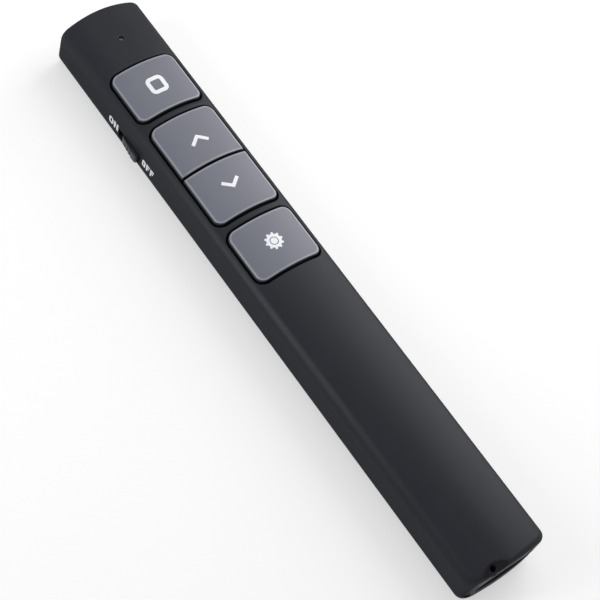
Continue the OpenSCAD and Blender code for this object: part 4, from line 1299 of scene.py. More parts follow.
@dataclass
class Signs:
    """The four white signs printed on the keys."""

    keys: Keys
    stroke: float = 0.78
    lift: float = 0.03
    sink: float = 0.04
    square: Flat = (4.3, 4.4)
    square_r: float = 1.25
    square_y: float = 50.7
    square_stroke: float = 0.95
    chevron: Flat = (2.0, 1.65)
    up_y: float = 34.53
    down_y: float = 22.17
    sun_at: Flat = (-0.25, 6.05)
    sun_teeth: int = 10
    sun_r: Flat = (1.65, 2.05)
    sun_ring_r: float = 0.98
    sun_hub_r: float = 0.78
    tooth_foot: float = 0.62
    tooth_tip: float = 0.3

    def make(self, place: KeyPlace) -> Piece:
        """Make the sign of one key."""
        name = f"{place.body}_sign"
        if place.body == "stop":
            loop = round_loop(*self.square, [self.square_r] * 4, 8, 0.4)
            middle = (0, self.square_y)
            return self._print(name, pushed(loop, 0, middle),
                               pushed(loop, -self.square_stroke, middle))
        if place.body == "page_up":
            return self._print(name, *self._chevron(self.up_y, 1))
        if place.body == "page_down":
            return self._print(name, *self._chevron(self.down_y, -1))
        return self._sun(name)

    def _chevron(self, y: float, sense: int) -> tuple[list[Flat], list[Flat]]:
        """Front and rear edge of an arrow head, as the two halves of one outline."""
        half, rise = self.chevron
        size = math.hypot(half, rise) / (self.stroke / 2)
        across = (rise / size, half / size)
        miter = self.stroke / 2 * math.hypot(half, rise) / half
        tip, foot = y + sense * rise / 2, y - sense * rise / 2
        front, rear = ([(-half - way * across[0], foot + way * sense * across[1]),
                        (0, tip + way * sense * miter),
                        (half + way * across[0], foot + way * sense * across[1])]
                       for way in (1, -1))
        return line_of(front, 0.4), line_of(rear, 0.4)

    def _print(self, name: str, outer: list[Flat], inner: list[Flat]) -> Piece:
        """A thin print that lies on the keys' crown.

        Args:
            name: Name of the piece.
            outer: Outer outline, or front edge of a print that is open.
            inner: Inner outline, or rear edge.

        Returns:
            The print's object.
        """
        count = min(len(outer), len(inner))
        edges = [[line[round(i * (len(line) - 1) / (count - 1))] for i in range(count)]
                 for line in (outer, inner)]
        laid = [[(x, y, self.keys.crown(x) + lift) for x, y in edges[edge]]
                for edge, lift in ((0, self.lift), (1, self.lift), (1, -self.sink),
                                   (0, -self.sink))]
        if math.dist(outer[0], outer[-1]) < 1:
            return Solid().belt(*laid).piece(name)
        return Solid().loft(list(zip(*laid))).piece(name)

    def _sun(self, name: str) -> Piece:
        """The toothed ring, made of equal sectors, and its hub."""
        half = 180 / self.sun_teeth
        low, high = self.sun_r
        foot, tip = self.tooth_foot * half, self.tooth_tip * half
        tooth = [(low, -half), (low, -foot), (high, -tip), (high, 0), (high, tip), (low, foot),
                 (low, half)]
        loops = [[(r * math.cos(math.radians(a)), r * math.sin(math.radians(a)))
                  for r, a in line] for line in (tooth, [(self.sun_ring_r, a) for _, a in tooth])]
        sun = Solid().belt(*[[(x, y, z) for x, y in loops[edge]] for z, edge in (
            (0.5, 0), (0.5, 1), (0, 1), (0, 0))], closed=False).piece(name)
        self.keys.bench.patterns.wheel(sun, self.sun_teeth)
        hub = turned([(0, 0), (self.sun_hub_r, 0), (self.sun_hub_r, 0.5), (0.5, 0.5), (0, 0.5)],
                     32).mesh("hub")
        work = bmesh.new()
        work.from_mesh(sun.data)
        work.from_mesh(hub)
        bmesh.ops.remove_doubles(work, verts=work.verts, dist=1e-6)
        bmesh.ops.recalc_face_normals(work, faces=work.faces)
        for vertex in work.verts:
            lift = self.lift if vertex.co.z > 0.2 * MM else -self.sink
            vertex.co.x += self.sun_at[0] * MM
            vertex.co.y += self.sun_at[1] * MM
            vertex.co.z = (self.keys.crown(vertex.co.x / MM) + lift) * MM
        work.to_mesh(sun.data)
        work.free()
        return sun


# ---------- housing pieces ----------


@dataclass(frozen=True)
class Boss:
    """A screw boss that hangs from the top wall, with its twin unless it is in the middle."""

    x: float
    y: float
    low: float
    hole_top: float
    radius: float
    hole_r: float

    def spots(self) -> list[Flat]:
        """Where it stands, on one or both sides."""
        return [(side * self.x, self.y) for side in ((-1, 1) if self.x else (1,))]


@dataclass
class Housing:
    """Upper housing, lower housing and battery cover, cut from the body's form."""

    bench: Bench
    form: BodyForm
    keys: Keys
    edge_r: float = 0.22
    split_y: float = -5.75
    split_gap: float = 0.06
    laser_z: float = 6.87
    laser_r: float = 2.0
    laser_edge_r: float = 0.3
    laser_seat: tuple[Flat, float] = ((72.7, 74.0), 2.63)
    barrel_seat: tuple[Flat, float] = ((62.55, 73.55), 3.02)
    cradle: tuple[Box, ...] = (((-3, 3), (64.45, 65.65), (1.0, 5.87)),
                               ((-3, 3), (70.45, 71.65), (1.0, 5.87)))
    light_y: float = 65.0
    light_r: float = 0.55
    light_edge_r: float = 0.08
    slot_y: Flat = (40.85, 49.05)
    slot_z: Flat = (3.35, 6.05)
    slot_r: float = 0.35
    slot_edge_r: float = 0.12
    slot_inner_x: float = 8.0
    switch_room: Box = ((-8.61, -7.6), (38.0, 52.0), (2.25, 13))
    receiver_z: float = 6.8
    receiver_size: Flat = (13.6, 6.0)
    receiver_r: float = 1.0
    receiver_edge_r: float = 0.2
    bay_front_y: float = -72.9
    eye: Place = (-4.5, -73.75, 10.8)
    eye_r: float = 0.65
    eye_block_x: Flat = (-6.15, -2.85)
    eye_block_y: Flat = (-74.0, -72.1)
    eye_block_low: float = 9.85
    scoop: Place = (-6.62, -79.0, 22.97)
    scoop_r: float = 12.04
    scoop_floor: Place = (-4.5, -73.9, 12.7)
    scoop_lean: Flat = (1.3, 31.2)
    bosses: tuple[Boss, ...] = (
        Boss(0, -3.55, 5.0, 9.5, 1.7, 0.85), Boss(6.1, 67.0, 3.4, 9.4, 1.7, 0.85),
        Boss(5.5, 60.35, 6.65, 9.65, 1.4, 0.6), Boss(4.7, -53.35, 5.0, 9.5, 1.5, 0.85))
    seats: tuple[Place, ...] = ((-6.1, 67.0, 3.35), (6.1, 67.0, 3.35), (0, -3.55, 3.75))
    seat_low: float = 0.4
    seat_r: float = 1.7
    bore_r: float = 1.55
    bore_edge_r: float = 0.15
    bore_top: float = 2.1
    through_r: float = 0.85
    brackets: tuple[Box, ...] = (((6.9, 8.9), (42.3, 43.7), (6.65, 8.15)),
                                 ((6.9, 8.9), (13.1, 14.5), (6.65, 8.15)))
    post_x: float = 3.8
    post_y: Place = (50.775, 28.4, 6.025)
    post_z: Flat = (1.0, 5.45)
    post_r: float = 1.0
    lip: Box = ((7.61, 8.36), (-4.75, 69.8), (1.6, 3.3))
    rails: tuple[Box, ...] = (((7.61, 8.51), (-74.2, -6.25), (1.6, 4.3)),
                              ((8.5, 8.96), (-73.6, -6.25), (3.5, 4.3)))
    rail_slots: tuple[Box, ...] = (((7.52, 8.61), (-76, -5.45), (0, 4.39)),
                                   ((8.59, 9.14), (-76, -5.45), (3.41, 4.39)))
    groove_count: int = 6
    groove_pitch: float = 2.0
    groove_last_y: float = -13.75
    groove_depth: float = 0.35

    def build(self) -> None:
        """Make the three pieces and let them ride on their bodies."""
        # The strap eye's scoop takes the darker finish, which is painted shade.
        self.bench.settle(self._upper(), "housing", SOFT_TOP, SHADED_SCOOP, node="upper_housing",
                          pick=self._is_scooped)
        self.bench.settle(self._lower(), "housing", SOFT_BASE, node="lower_housing")
        self.bench.settle(self._cover(), "cover", SOFT_BASE, node="battery_cover")

    def _is_scooped(self, middle: Place) -> int:
        """1 in the strap eye's scoop, 0 elsewhere."""
        return int(middle[1] < -70 and abs(math.dist(middle, self.scoop) - self.scoop_r) < 0.03)

    def _upper(self) -> Piece:
        """The upper housing with its openings, bosses, board brackets and strap eye."""
        form = self.form
        part = Workpiece(form.solid(form.upper_spots(), None, None).piece("upper_shell"))
        part.work(Join.CUT, form.hollow())
        holes = []
        for boss in self.bosses:
            for x, y in boss.spots():
                part.work(Join.WELD, post(x, y, (boss.low, form.hollow_top(x) + 0.5),
                                          boss.radius))
                holes.append(post(x, y, (boss.low - 0.1, boss.hole_top), boss.hole_r))
        part.work(Join.WELD, *self._twins(self.brackets),
                  block(self.eye_block_x, self.eye_block_y,
                        (self.eye_block_low, form.hollow_top(self.eye_block_x[0]) + 0.4)))
        part.work(Join.CUT, *holes, *self.keys.openings(self.edge_r), *self._side_cuts(),
                  *self._end_cuts(), *self._twins(self.rail_slots))
        return part.done()

    @staticmethod
    def _twins(boxes: Sequence[Box]) -> list[Solid]:
        """Blocks on both sides of the body."""
        return [block(*box, side) for side in (-1, 1) for box in boxes]

    def _side_cuts(self) -> list[Solid]:
        """The slider's slot and the light's pinhole."""
        loop = round_loop(self.slot_y[1] - self.slot_y[0], self.slot_z[1] - self.slot_z[0],
                          [self.slot_r] * 4, 5, 0.6)
        slot = flared(loop, (sum(self.slot_y) / 2, sum(self.slot_z) / 2),
                      lambda a, b: self.form.side(b), self.slot_inner_x, self.slot_edge_r,
                      lambda a, b, h: (-h, a, b))
        pin = flared(circle(self.light_r, 24), (0, self.light_y), self.form.top,
                     self.form.cut_z, self.light_edge_r)
        return [slot, pin]

    def _end_cuts(self) -> list[Solid]:
        """The laser's hole and seat, the receiver's opening and the strap eye."""
        nose, tail = self.form.nose, self.form.tail
        seat_y, seat_r = self.laser_seat
        laser = flared(circle(self.laser_r, 48), (0, self.laser_z), nose.face, seat_y[0],
                       self.laser_edge_r, along)
        mouth = round_loop(*self.receiver_size, [self.receiver_r] * 4, 8, 0.7)
        bay = flared(mouth, (0, self.receiver_z), lambda a, b: -tail.face(a),
                     -self.bay_front_y, self.receiver_edge_r, lambda a, b, h: (a, -h, b))
        x, y, z = self.eye
        return [laser, rod(0, self.laser_z, seat_y, seat_r, 48), bay, self._scoop(),
                post(x, y, (z - self.eye_r, self.form.height + 1), self.eye_r, 24),
                rod(x, z, (tail.face_y - 1, y), self.eye_r, 24)]

    def _scoop(self) -> Solid:
        """The shallow ball-shaped scoop around the strap hole."""
        ball = Vector(self.scoop)
        aim = (Vector(self.scoop_floor) - ball).normalized()
        other = aim.cross(Vector((1, 0, 0))).normalized()
        across = other.cross(aim)
        rings: list[list[Place]] = [[tuple(ball + aim * self.scoop_r)]]
        for lean in turns(*self.scoop_lean, 23):
            rings.append([tuple(ball + self.scoop_r * (aim * math.cos(lean) + math.sin(lean)
                                                       * (across * a + other * b)))
                          for a, b in circle(1, 64)])
        return Solid().loft(rings)

    def _lower(self) -> Piece:
        """The lower housing with its seats, posts, lip and cradle."""
        form = self.form
        shell = form.solid(form.lower_spots(), self.split_y + self.split_gap, None)
        part = Workpiece(shell.piece("lower_shell")).work(Join.CUT, form.hollow())
        part.work(Join.WELD, *[post(x, y, (self.seat_low, top), self.seat_r)
                               for x, y, top in self.seats])
        part.work(Join.WELD, *self._twins([self.lip]),
                  *[post(side * self.post_x, y, self.post_z, self.post_r)
                    for side in (-1, 1) for y in self.post_y],
                  *[block(*rib) for rib in self.cradle])
        barrel_y, barrel_r = self.barrel_seat
        part.work(Join.CUT, rod(0, self.laser_z, barrel_y, barrel_r, 64),
                  block(*self.switch_room))
        for x, y, _ in self.seats:
            bore = flared(circle(self.bore_r, 48), (x, y), lambda a, b: -form.under(a),
                          -self.bore_top, self.bore_edge_r, lambda a, b, h: (a, b, -h))
            part.work(Join.CUT, post(x, y, (-1, form.height), self.through_r, 32), bore)
        return part.done()

    def _cover(self) -> Piece:
        """The battery cover with its rails and grip grooves."""
        form = self.form
        shell = form.solid(form.lower_spots(), None, self.split_y - self.split_gap)
        part = Workpiece(shell.piece("cover_shell")).work(Join.CUT, form.hollow())
        part.work(Join.WELD, *self._twins(self.rails))
        profile = [(0, -5.3), (0.4, -5.2), (0.6, -5.0), (0.7, -4.7), (0.7, 4.7), (0.6, 5.0),
                   (0.4, 5.2), (0, 5.3)]
        groove = turned(profile, 24, (0, 0, -self.groove_depth),
                        lambda a, b, h: (h, a, b)).piece("groove")
        first = self.groove_last_y - self.groove_pitch * (self.groove_count - 1)
        self.bench.patterns.row(groove, self.groove_count, (0, self.groove_pitch, 0),
                                (0, first, 0))
        return part.work(Join.CUT, groove).done()


@dataclass
class SideWords:
    """The switch words ON and OFF, printed on the left side wall."""

    bench: Bench
    form: BodyForm
    low_z: float = 4.5
    height: float = 2.2
    stroke: float = 0.5
    space: float = 0.3
    lift: float = 0.02
    sink: float = 0.05
    words: tuple[tuple[str, float, float], ...] = (("ON", 52.85, 49.35), ("OFF", 39.7, 35.35))

    def build(self) -> None:
        """Print both words and let them ride on the housing."""
        for letters, start, stop in self.words:
            step = (start - stop + self.space) / len(letters)
            solid = Solid()
            for number, letter in enumerate(letters):
                self._letter(solid, letter, start - number * step, step - self.space)
            self.bench.settle(solid.piece(f"{letters.lower()}_word"), "housing", PRINT_WHITE,
                              angle=40)

    def _letter(self, solid: Solid, letter: str, y: float, width: float) -> None:
        """Add one letter whose left edge stands at y."""
        s, low, top = self.stroke, self.low_z, self.low_z + self.height
        far = y - width
        if letter == "O":
            loop = round_loop(width, self.height, [width * 0.46] * 4, 8, 0.4)
            middle = (y - width / 2, (top + low) / 2)
            outer, inner = pushed(loop, 0, middle), pushed(loop, -s, middle)
            solid.belt(*[self._laid(line, lift) for line, lift in (
                (outer, self.lift), (inner, self.lift), (inner, -self.sink),
                (outer, -self.sink))])
            return
        joint = y - s + 0.01
        plates = [[(y, low), (y - s, low), (y - s, top), (y, top)]]
        if letter == "N":
            plates += [[(far + s, low), (far, low), (far, top), (far + s, top)],
                       [(joint, top), (joint, top - 1.2 * s), (far + s - 0.01, low),
                        (far + s - 0.01, low + 1.2 * s)]]
        else:
            mid, reach = low + 0.52 * self.height, y - 0.85 * width
            plates += [[(joint, top - s), (far, top - s), (far, top), (joint, top)],
                       [(joint, mid - s / 2), (reach, mid - s / 2), (reach, mid + s / 2),
                        (joint, mid + s / 2)]]
        for plate in plates:
            solid.loft([self._laid(plate, lift) for lift in (-self.sink, self.lift)])

    def _laid(self, line: Sequence[Flat], lift: float) -> list[Place]:
        """A line of the side view laid on the side wall and lifted off it."""
        return [(-self.form.side(z) - lift, y, z) for y, z in line]


# ---------- slider ----------


@dataclass
class Slider:
    """The power knob with its thumb ridges, and the slide switch behind it."""

    bench: Bench
    low_y: float = 41.1
    length: float = 6.2
    middle_z: float = 4.7
    height: float = 2.2
    proud: float = 0.9
    side_x: float = 10.0
    foot_x: float = 8.45
    edge_r: float = 0.14
    plate: Box = ((-8.55, -7.8), (39.1, 47.8), (2.9, 6.4))
    plate_r: float = 0.12
    stem_hole: Box = ((-9.15, 0), (43.46, 44.94), (4.26, 5.14))
    groove_r: float = 0.22
    groove_at: Flat = (0.045, 2.2)
    groove_count: int = 3
    groove_step: Place = (0.1, 1.1, 0)

    def build(self) -> None:
        """Make the knob and dress the switch."""
        self.bench.settle(self._knob(), "power_slider", KNOB_BLACK, node="power_knob")
        self.bench.remake("housing", ("slide_switch_case", STAMPED_STEEL, 0.08, 2))
        self.bench.remake("power_slider", ("slide_switch_stem", SWITCH_BLACK, 0.08, 2))

    def _knob(self) -> Piece:
        """The wedge-shaped knob on its plate."""
        out, low, high = self.side_x + self.proud, self.low_y, self.low_y + self.length
        outline = [(-self.foot_x, low), (-out + 0.25, low), (-out, low + 0.3), (-out, low + 1.4),
                   (-self.side_x - 0.45 * self.proud, high - 0.5), (-self.side_x - 0.1, high),
                   (-self.foot_x, high)]
        levels = (self.middle_z - self.height / 2, self.middle_z + self.height / 2)
        wedge = Solid().loft([[(x, y, z) for x, y in outline] for z in levels])
        part = Workpiece(rounded(wedge.piece("power_knob_made"), self.edge_r, 3))
        plate = rounded(block(*self.plate).piece("plate"), self.plate_r)
        groove = post(-out + self.groove_at[0], low + self.groove_at[1],
                      (levels[0] - 1, levels[1] + 1), self.groove_r, 20).piece("groove")
        self.bench.patterns.row(groove, self.groove_count, self.groove_step)
        return part.work(Join.WELD, plate).work(Join.CUT, groove, block(*self.stem_hole)).done()


# ---------- pieces inside ----------


@dataclass
class Switches:
    """The four key switches: base, cover with rivets, dome, plunger and legs."""

    bench: Bench
    board_z: float = 6.65
    cover_z: float = 10.15
    rivet_half: float = 2.35
    leg_half: float = 2.25
    leg_w: float = 0.7
    pieces: tuple[Remade, ...] = (
        ("tact_bases", SWITCH_BLACK, 0.12, 2), ("tact_covers", STAMPED_STEEL, 0.06, 2),
        ("snap_domes", STAMPED_STEEL, 0.0, 2))

    def build(self) -> None:
        """Make the switches' pieces."""
        self.bench.remake("housing", *self.pieces)
        for place in KEY_PLACES:
            self.bench.remake(place.body, (f"{place.body}_plunger", SWITCH_BLACK, 0.12, 3))
        for piece in (self._rivets(), self._legs()):
            self.bench.settle(self.bench.patterns.spread(piece, KEY_SPOTS), "housing", TINNED)

    def _rivets(self) -> Piece:
        """Round rivet heads at the corners of a cover."""
        z, half = self.cover_z, self.rivet_half
        rivet = turned([(0.3, z - 0.05), (0.3, z + 0.06), (0.2, z + 0.12), (0, z + 0.14)],
                       16).piece("switch_rivets")
        self.bench.patterns.row(rivet, 2, (2 * half, 0, 0), (-half, 0, 0))
        return self.bench.patterns.row(rivet, 2, (0, 2 * half, 0), (0, -half, 0))

    def _legs(self) -> Piece:
        """Bent legs that carry a switch on the board."""
        z, half = self.board_z, self.leg_half
        bend = [(2.9, z + 0.9), (3.14, z + 0.86), (3.2, z + 0.72), (3.2, z + 0.12),
                (3.26, z + 0.05), (3.4, z + 0.02), (3.95, z + 0.02), (3.95, z + 0.17),
                (3.44, z + 0.18), (3.36, z + 0.26), (3.36, z + 0.8), (3.24, z + 1.0),
                (2.9, z + 1.05)]
        leg = Solid().loft([[(x, y, h) for x, h in bend]
                            for y in (-self.leg_w / 2, self.leg_w / 2)]).piece("switch_legs")
        self.bench.patterns.row(leg, 2, (0, 2 * half, 0), (0, -half, 0))
        return self.bench.patterns.wheel(leg, 2)


@dataclass
class Board:
    """The circuit board with its chips, prints, pads and lights."""

    bench: Bench
    low_z: float = 5.45
    top_z: float = 6.65
    edge_r: float = 0.05
    chip_y: float = 20.575
    chip_low_z: float = 4.55
    chip_corner: float = 1.85
    land_x: Flat = (2.35, 2.75)
    land_half: float = 0.13
    land_h: float = 0.19
    land_pitch: float = 0.5
    land_count: int = 8
    end_h: float = 0.46
    end_r: float = 0.04
    side_parts_x: float = 2.95
    via_x: float = 6.3
    via_pitch: float = 3.9
    via_count: int = 12
    frame: Flat = (9.0, 7.4)
    frame_line: float = 0.16
    light: Place = (0.0, 60.9, 7.45)
    pieces: tuple[Remade, ...] = (
        ("radio_chip", CHIP_BLACK, 0.08, 2), ("crystal_can", NICKEL, 0.2, 3),
        ("chip_parts", CERAMIC_TAN, 0.03, 1), ("status_led", LED_WHITE, 0.08, 2),
        ("light_pipe", SMOKED, 0.06, 2))

    def build(self) -> None:
        """Make the board's pieces."""
        self.bench.settle(self.bench.copy_of("circuit_board", self.edge_r), "housing",
                          BOARD_GREEN, BOARD_EDGE, node="circuit_board", pick=self._is_edge)
        self.bench.remake("housing", *self.pieces)
        for piece, finish in ((self._chip_legs(), TINNED), (self._part_ends(), TINNED),
                              (self._vias(), GOLD), (self._frames(), PRINT_WHITE),
                              (self._dot(), LED_DOT), (self._chip_mark(), CERAMIC_TAN)):
            self.bench.settle(piece, "housing", finish)

    def _is_edge(self, middle: Place) -> int:
        """1 on the sawn edges of the board, 0 on its faces."""
        return int(self.low_z + 0.06 < middle[2] < self.top_z - 0.06)

    def _chip_legs(self) -> Piece:
        """Flat solder lands around the radio chip."""
        high = self.low_z - 0.01
        leg = rounded(block(self.land_x, (-self.land_half, self.land_half),
                            (high - self.land_h, high)).piece("chip_legs"), self.end_r)
        start = -self.land_pitch * (self.land_count - 1) / 2
        self.bench.patterns.row(leg, self.land_count, (0, self.land_pitch, 0), (0, start, 0))
        return self.bench.patterns.wheel(leg, 4, (0, self.chip_y, 0))

    def _part_ends(self) -> Piece:
        """Tinned ends of the small parts around the chip."""
        row, x = self.bench.patterns.row, self.side_parts_x
        levels = (self.low_z - 0.01 - self.end_h, self.low_z - 0.01)
        sides = rounded(block((x, x + 0.28), (-0.27, 0.27), levels).piece("side_ends"),
                        self.end_r)
        row(sides, 2, (0.82, 0, 0))
        row(sides, 5, (0, 2, 0), (0, self.chip_y - 3.75, 0))
        sides = self.bench.patterns.spread(sides, ((0, 0, 0), (-7.0, 0, 0)))
        front = rounded(block((-0.27, 0.27), (0, 0.28), levels).piece("front_ends"), self.end_r)
        row(front, 2, (0, 0.77, 0), (0, self.chip_y + 3.475, 0))
        row(front, 3, (1.25, 0, 0), (-1.25, 0, 0))
        return joined("part_ends", (sides, front))

    def _vias(self) -> Piece:
        """Small gold-plated holes along both edges of the board."""
        low, high = self.low_z - 0.015, self.top_z + 0.015
        via = turned([(0.14, low), (0.3, low), (0.3, high), (0.14, high)], 14).piece("board_vias")
        self.bench.patterns.row(via, 2, (2 * self.via_x, 0, 0), (-self.via_x, 0, 0))
        return self.bench.patterns.row(via, self.via_count, (0, self.via_pitch, 0), (0, 9.6, 0))

    def _frames(self) -> Piece:
        """Printed outlines around the switches on the board."""
        loop = round_loop(*self.frame, [0.5] * 4, 3, 8)
        inner = pushed(loop, -self.frame_line)
        high, low = self.top_z + 0.015, self.top_z - 0.02
        frame = Solid().belt(*[[(a, b, z) for a, b in line] for line, z in (
            (loop, high), (inner, high), (inner, low), (loop, low))])
        return self.bench.patterns.spread(frame.piece("board_print"), KEY_SPOTS)

    def _dot(self) -> Piece:
        """The round gel window of the status light."""
        return turned([(0.34, -0.02), (0.34, 0.01), (0.26, 0.035), (0, 0.05)], 24,
                      self.light).piece("light_gel")

    def _chip_mark(self) -> Piece:
        """The round mark at the first corner of the radio chip."""
        return turned([(0.28, 0.02), (0.28, -0.008), (0.18, -0.012), (0, -0.012)], 20,
                      (-self.chip_corner, self.chip_y + self.chip_corner,
                       self.chip_low_z)).piece("chip_mark")


@dataclass
class Optics:
    """The laser barrel, its lens and diode, and the window in the nose."""

    bench: Bench
    pieces: tuple[Remade, ...] = (
        ("laser_barrel", BRASS, 0.12, 2), ("laser_lens", ACRYLIC, 0.05, 2),
        ("laser_diode", GOLD, 0.06, 2), ("nose_window", RED_WINDOW, 0.12, 3))

    def build(self) -> None:
        """Round and dress each piece."""
        self.bench.remake("housing", *self.pieces)


@dataclass
class Power:
    """The battery tray, the cell in its sleeve, the contacts, the spring and the leads."""

    bench: Bench
    cell_z: float = 6.6
    cell_y: Flat = (-51.45, -6.95)
    cell_r: float = 5.25
    band_l: float = 9.0
    steel_r: float = 4.65
    spring_y: Flat = (-54.28, -51.72)
    spring_r: Flat = (2.5, 1.6)
    spring_turns: float = 3.5
    spring_wire_r: float = 0.25
    lead_x: float = 6.81
    lead_z: float = 9.45
    lead_r: float = 0.45
    lead_bend: float = 0.9
    lead_start_y: Flat = (-6.6, -54.58)
    lead_drop_y: float = -4.25
    lead_end_y: float = 1.85
    lead_pad_z: float = 7.13
    pieces: tuple[Remade, ...] = (
        ("battery_tray", TRAY_BLACK, 0.1, 2), ("positive_contact", NICKEL, 0.06, 2),
        ("negative_contact", NICKEL, 0.06, 2))

    def build(self) -> None:
        """Make the pieces and let them ride on the housing."""
        self.bench.remake("housing", *self.pieces)
        self.bench.settle(self._cell(), "housing", CELL_SLEEVE, CELL_STEEL, CELL_BAND,
                          node="battery_cell", angle=35, pick=self._part_of_cell)
        spring = self.bench.patterns.wire("battery_spring_wire", self._helix(),
                                          self.spring_wire_r)
        self.bench.settle(spring, "housing", NICKEL, node="battery_spring")
        self.bench.settle(self._leads(), "housing", LEAD_RED, LEAD_BLACK, node="battery_leads",
                          pick=lambda p: int(p[0] < 0))

    def _cell(self) -> Piece:
        """The cell: steel ends, a shrunk sleeve rolled over them and the nub."""
        low, high = self.cell_y
        r, band = self.cell_r, high - self.band_l
        profile = [(0, low + 0.02), (3.6, low + 0.02), (4.3, low), (4.75, low + 0.02),
                   (4.78, low + 0.3), (4.82, low + 0.2), (5.0, low + 0.16), (5.17, low + 0.24),
                   (r, low + 0.45), (r, low + 9.0), (r, low + 22.0), (r, band - 0.01),
                   (r, band), (r, high - 2.2), (r, high - 1.3), (5.17, high - 1.06),
                   (5.0, high - 0.94), (4.6, high - 0.9), (4.55, high - 1.0),
                   (4.5, high - 0.98), (3.0, high - 0.88), (2.1, high - 0.84),
                   (1.95, high - 0.8), (1.9, high - 0.7), (1.9, high - 0.2),
                   (1.82, high - 0.06), (1.66, high), (0, high)]
        return turned(profile, 72, (0, 0, self.cell_z), along).piece("battery_cell_made")

    def _part_of_cell(self, middle: Place) -> int:
        """0 on the dark sleeve, 1 on the steel ends, 2 on the copper band."""
        x, y, z = middle
        if math.hypot(x, z - self.cell_z) < self.steel_r:
            return 1
        return 2 if y > self.cell_y[1] - self.band_l else 0

    def _helix(self) -> list[Place]:
        """Path of the cone spring between the plate and the cell."""
        (wide, narrow), (start, stop) = self.spring_r, self.spring_y
        count = round(self.spring_turns * 28)
        path = []
        for i in range(count + 1):
            share = i / count
            angle = math.tau * self.spring_turns * share
            radius = wide + (narrow - wide) * share
            path.append((radius * math.cos(angle), start + (stop - start) * share,
                         self.cell_z + radius * math.sin(angle)))
        return path

    def _leads(self) -> Piece:
        """The red and the black lead, from the contacts over the board's rear edge."""
        bend, drop = self.lead_bend, self.lead_drop_y
        leads = []
        for side, start in zip((1, -1), self.lead_start_y):
            course = [(start, self.lead_z), ((start + drop - bend) / 2, self.lead_z),
                      *arc((drop - bend, self.lead_z - bend), bend, 90, 0, 8),
                      *arc((drop + bend, self.lead_pad_z + bend), bend, 180, 270, 8),
                      (self.lead_end_y, self.lead_pad_z)]
            leads.append(self.bench.patterns.wire(
                "lead", [(side * self.lead_x, y, z) for y, z in course], self.lead_r))
        return joined("battery_leads_made", leads)


@dataclass
class Receiver:
    """The USB receiver: cap, plug shell, tongue and contacts."""

    bench: Bench
    pieces: tuple[Remade, ...] = (
        ("receiver_cap", KNOB_BLACK, 0.18, 3), ("receiver_shell", NICKEL, 0.1, 2),
        ("receiver_tongue", TONGUE_WHITE, 0.1, 2), ("receiver_contacts", GOLD, 0.05, 1))

    def build(self) -> None:
        """Round and dress each piece."""
        self.bench.remake("receiver", *self.pieces)


@dataclass(frozen=True)
class ScrewKind:
    """Sizes and places of one set of pan-head screws that point up."""

    node: str
    seat_z: float
    shank_r: float
    shank_l: float
    head_r: float
    places: tuple[Flat, ...]


@dataclass
class Screws:
    """Every screw, with a domed head, a cross recess and a threaded shank."""

    bench: Bench
    head_h: float = 0.9
    pitch: float = 0.5
    cross_half_w: float = 0.15
    cross_depth: float = 0.45
    kinds: tuple[ScrewKind, ...] = (
        ScrewKind("housing_screws", 2.1, 0.8, 6.4, 1.5, ((-6.1, 67.0), (6.1, 67.0), (0, -3.55))),
        ScrewKind("board_screws", 5.45, 0.55, 3.3, 1.2, ((-5.5, 60.35), (5.5, 60.35))),
        ScrewKind("tray_screws", 3.8, 0.8, 4.8, 1.5, ((-4.7, -53.35), (4.7, -53.35))))

    def build(self) -> None:
        """Turn one screw of each kind and set it in all its places."""
        for kind in self.kinds:
            reach, half = (-kind.head_r * 0.55, kind.head_r * 0.55), self.cross_half_w
            levels = (kind.seat_z - self.head_h - 1, kind.seat_z - self.cross_depth)
            part = Workpiece(self._screw(kind).piece(f"{kind.node}_made"))
            part.work(Join.CUT, block(reach, (-half, half), levels),
                      block((-half, half), reach, levels))
            screws = self.bench.patterns.spread(part.done(), [(x, y, 0) for x, y in kind.places])
            self.bench.settle(screws, "housing", SCREW_STEEL, node=kind.node)

    def _screw(self, kind: ScrewKind) -> Solid:
        """One screw on the origin's axis."""
        z, h, r = kind.seat_z, self.head_h, kind.head_r
        profile = [(0, z - h), (0.62 * r, z - h), (0.82 * r, z - 0.9 * h), (0.95 * r, z - 0.7 * h),
                   (r, z - 0.42 * h), (r, z - 0.06), (r - 0.05, z), (kind.shank_r, z)]
        level = z + 0.4
        while level < z + kind.shank_l - 0.8:
            profile += [(0.8 * kind.shank_r, level), (kind.shank_r, level + self.pitch / 2)]
            level += self.pitch
        profile += [(0.75 * kind.shank_r, level), (0.3 * kind.shank_r, z + kind.shank_l),
                    (0, z + kind.shank_l)]
        return turned(profile, 32)


# ---------- studio ----------


@dataclass(frozen=True)
class Lamp:
    """One soft lamp: place and aim in millimetres, face size and light in watts."""

    name: str
    place: Place
    size: Flat
    power: float
    colour: Place = (1.0, 1.0, 1.0)
    aim: Place = (0.0, 0.0, 8.0)


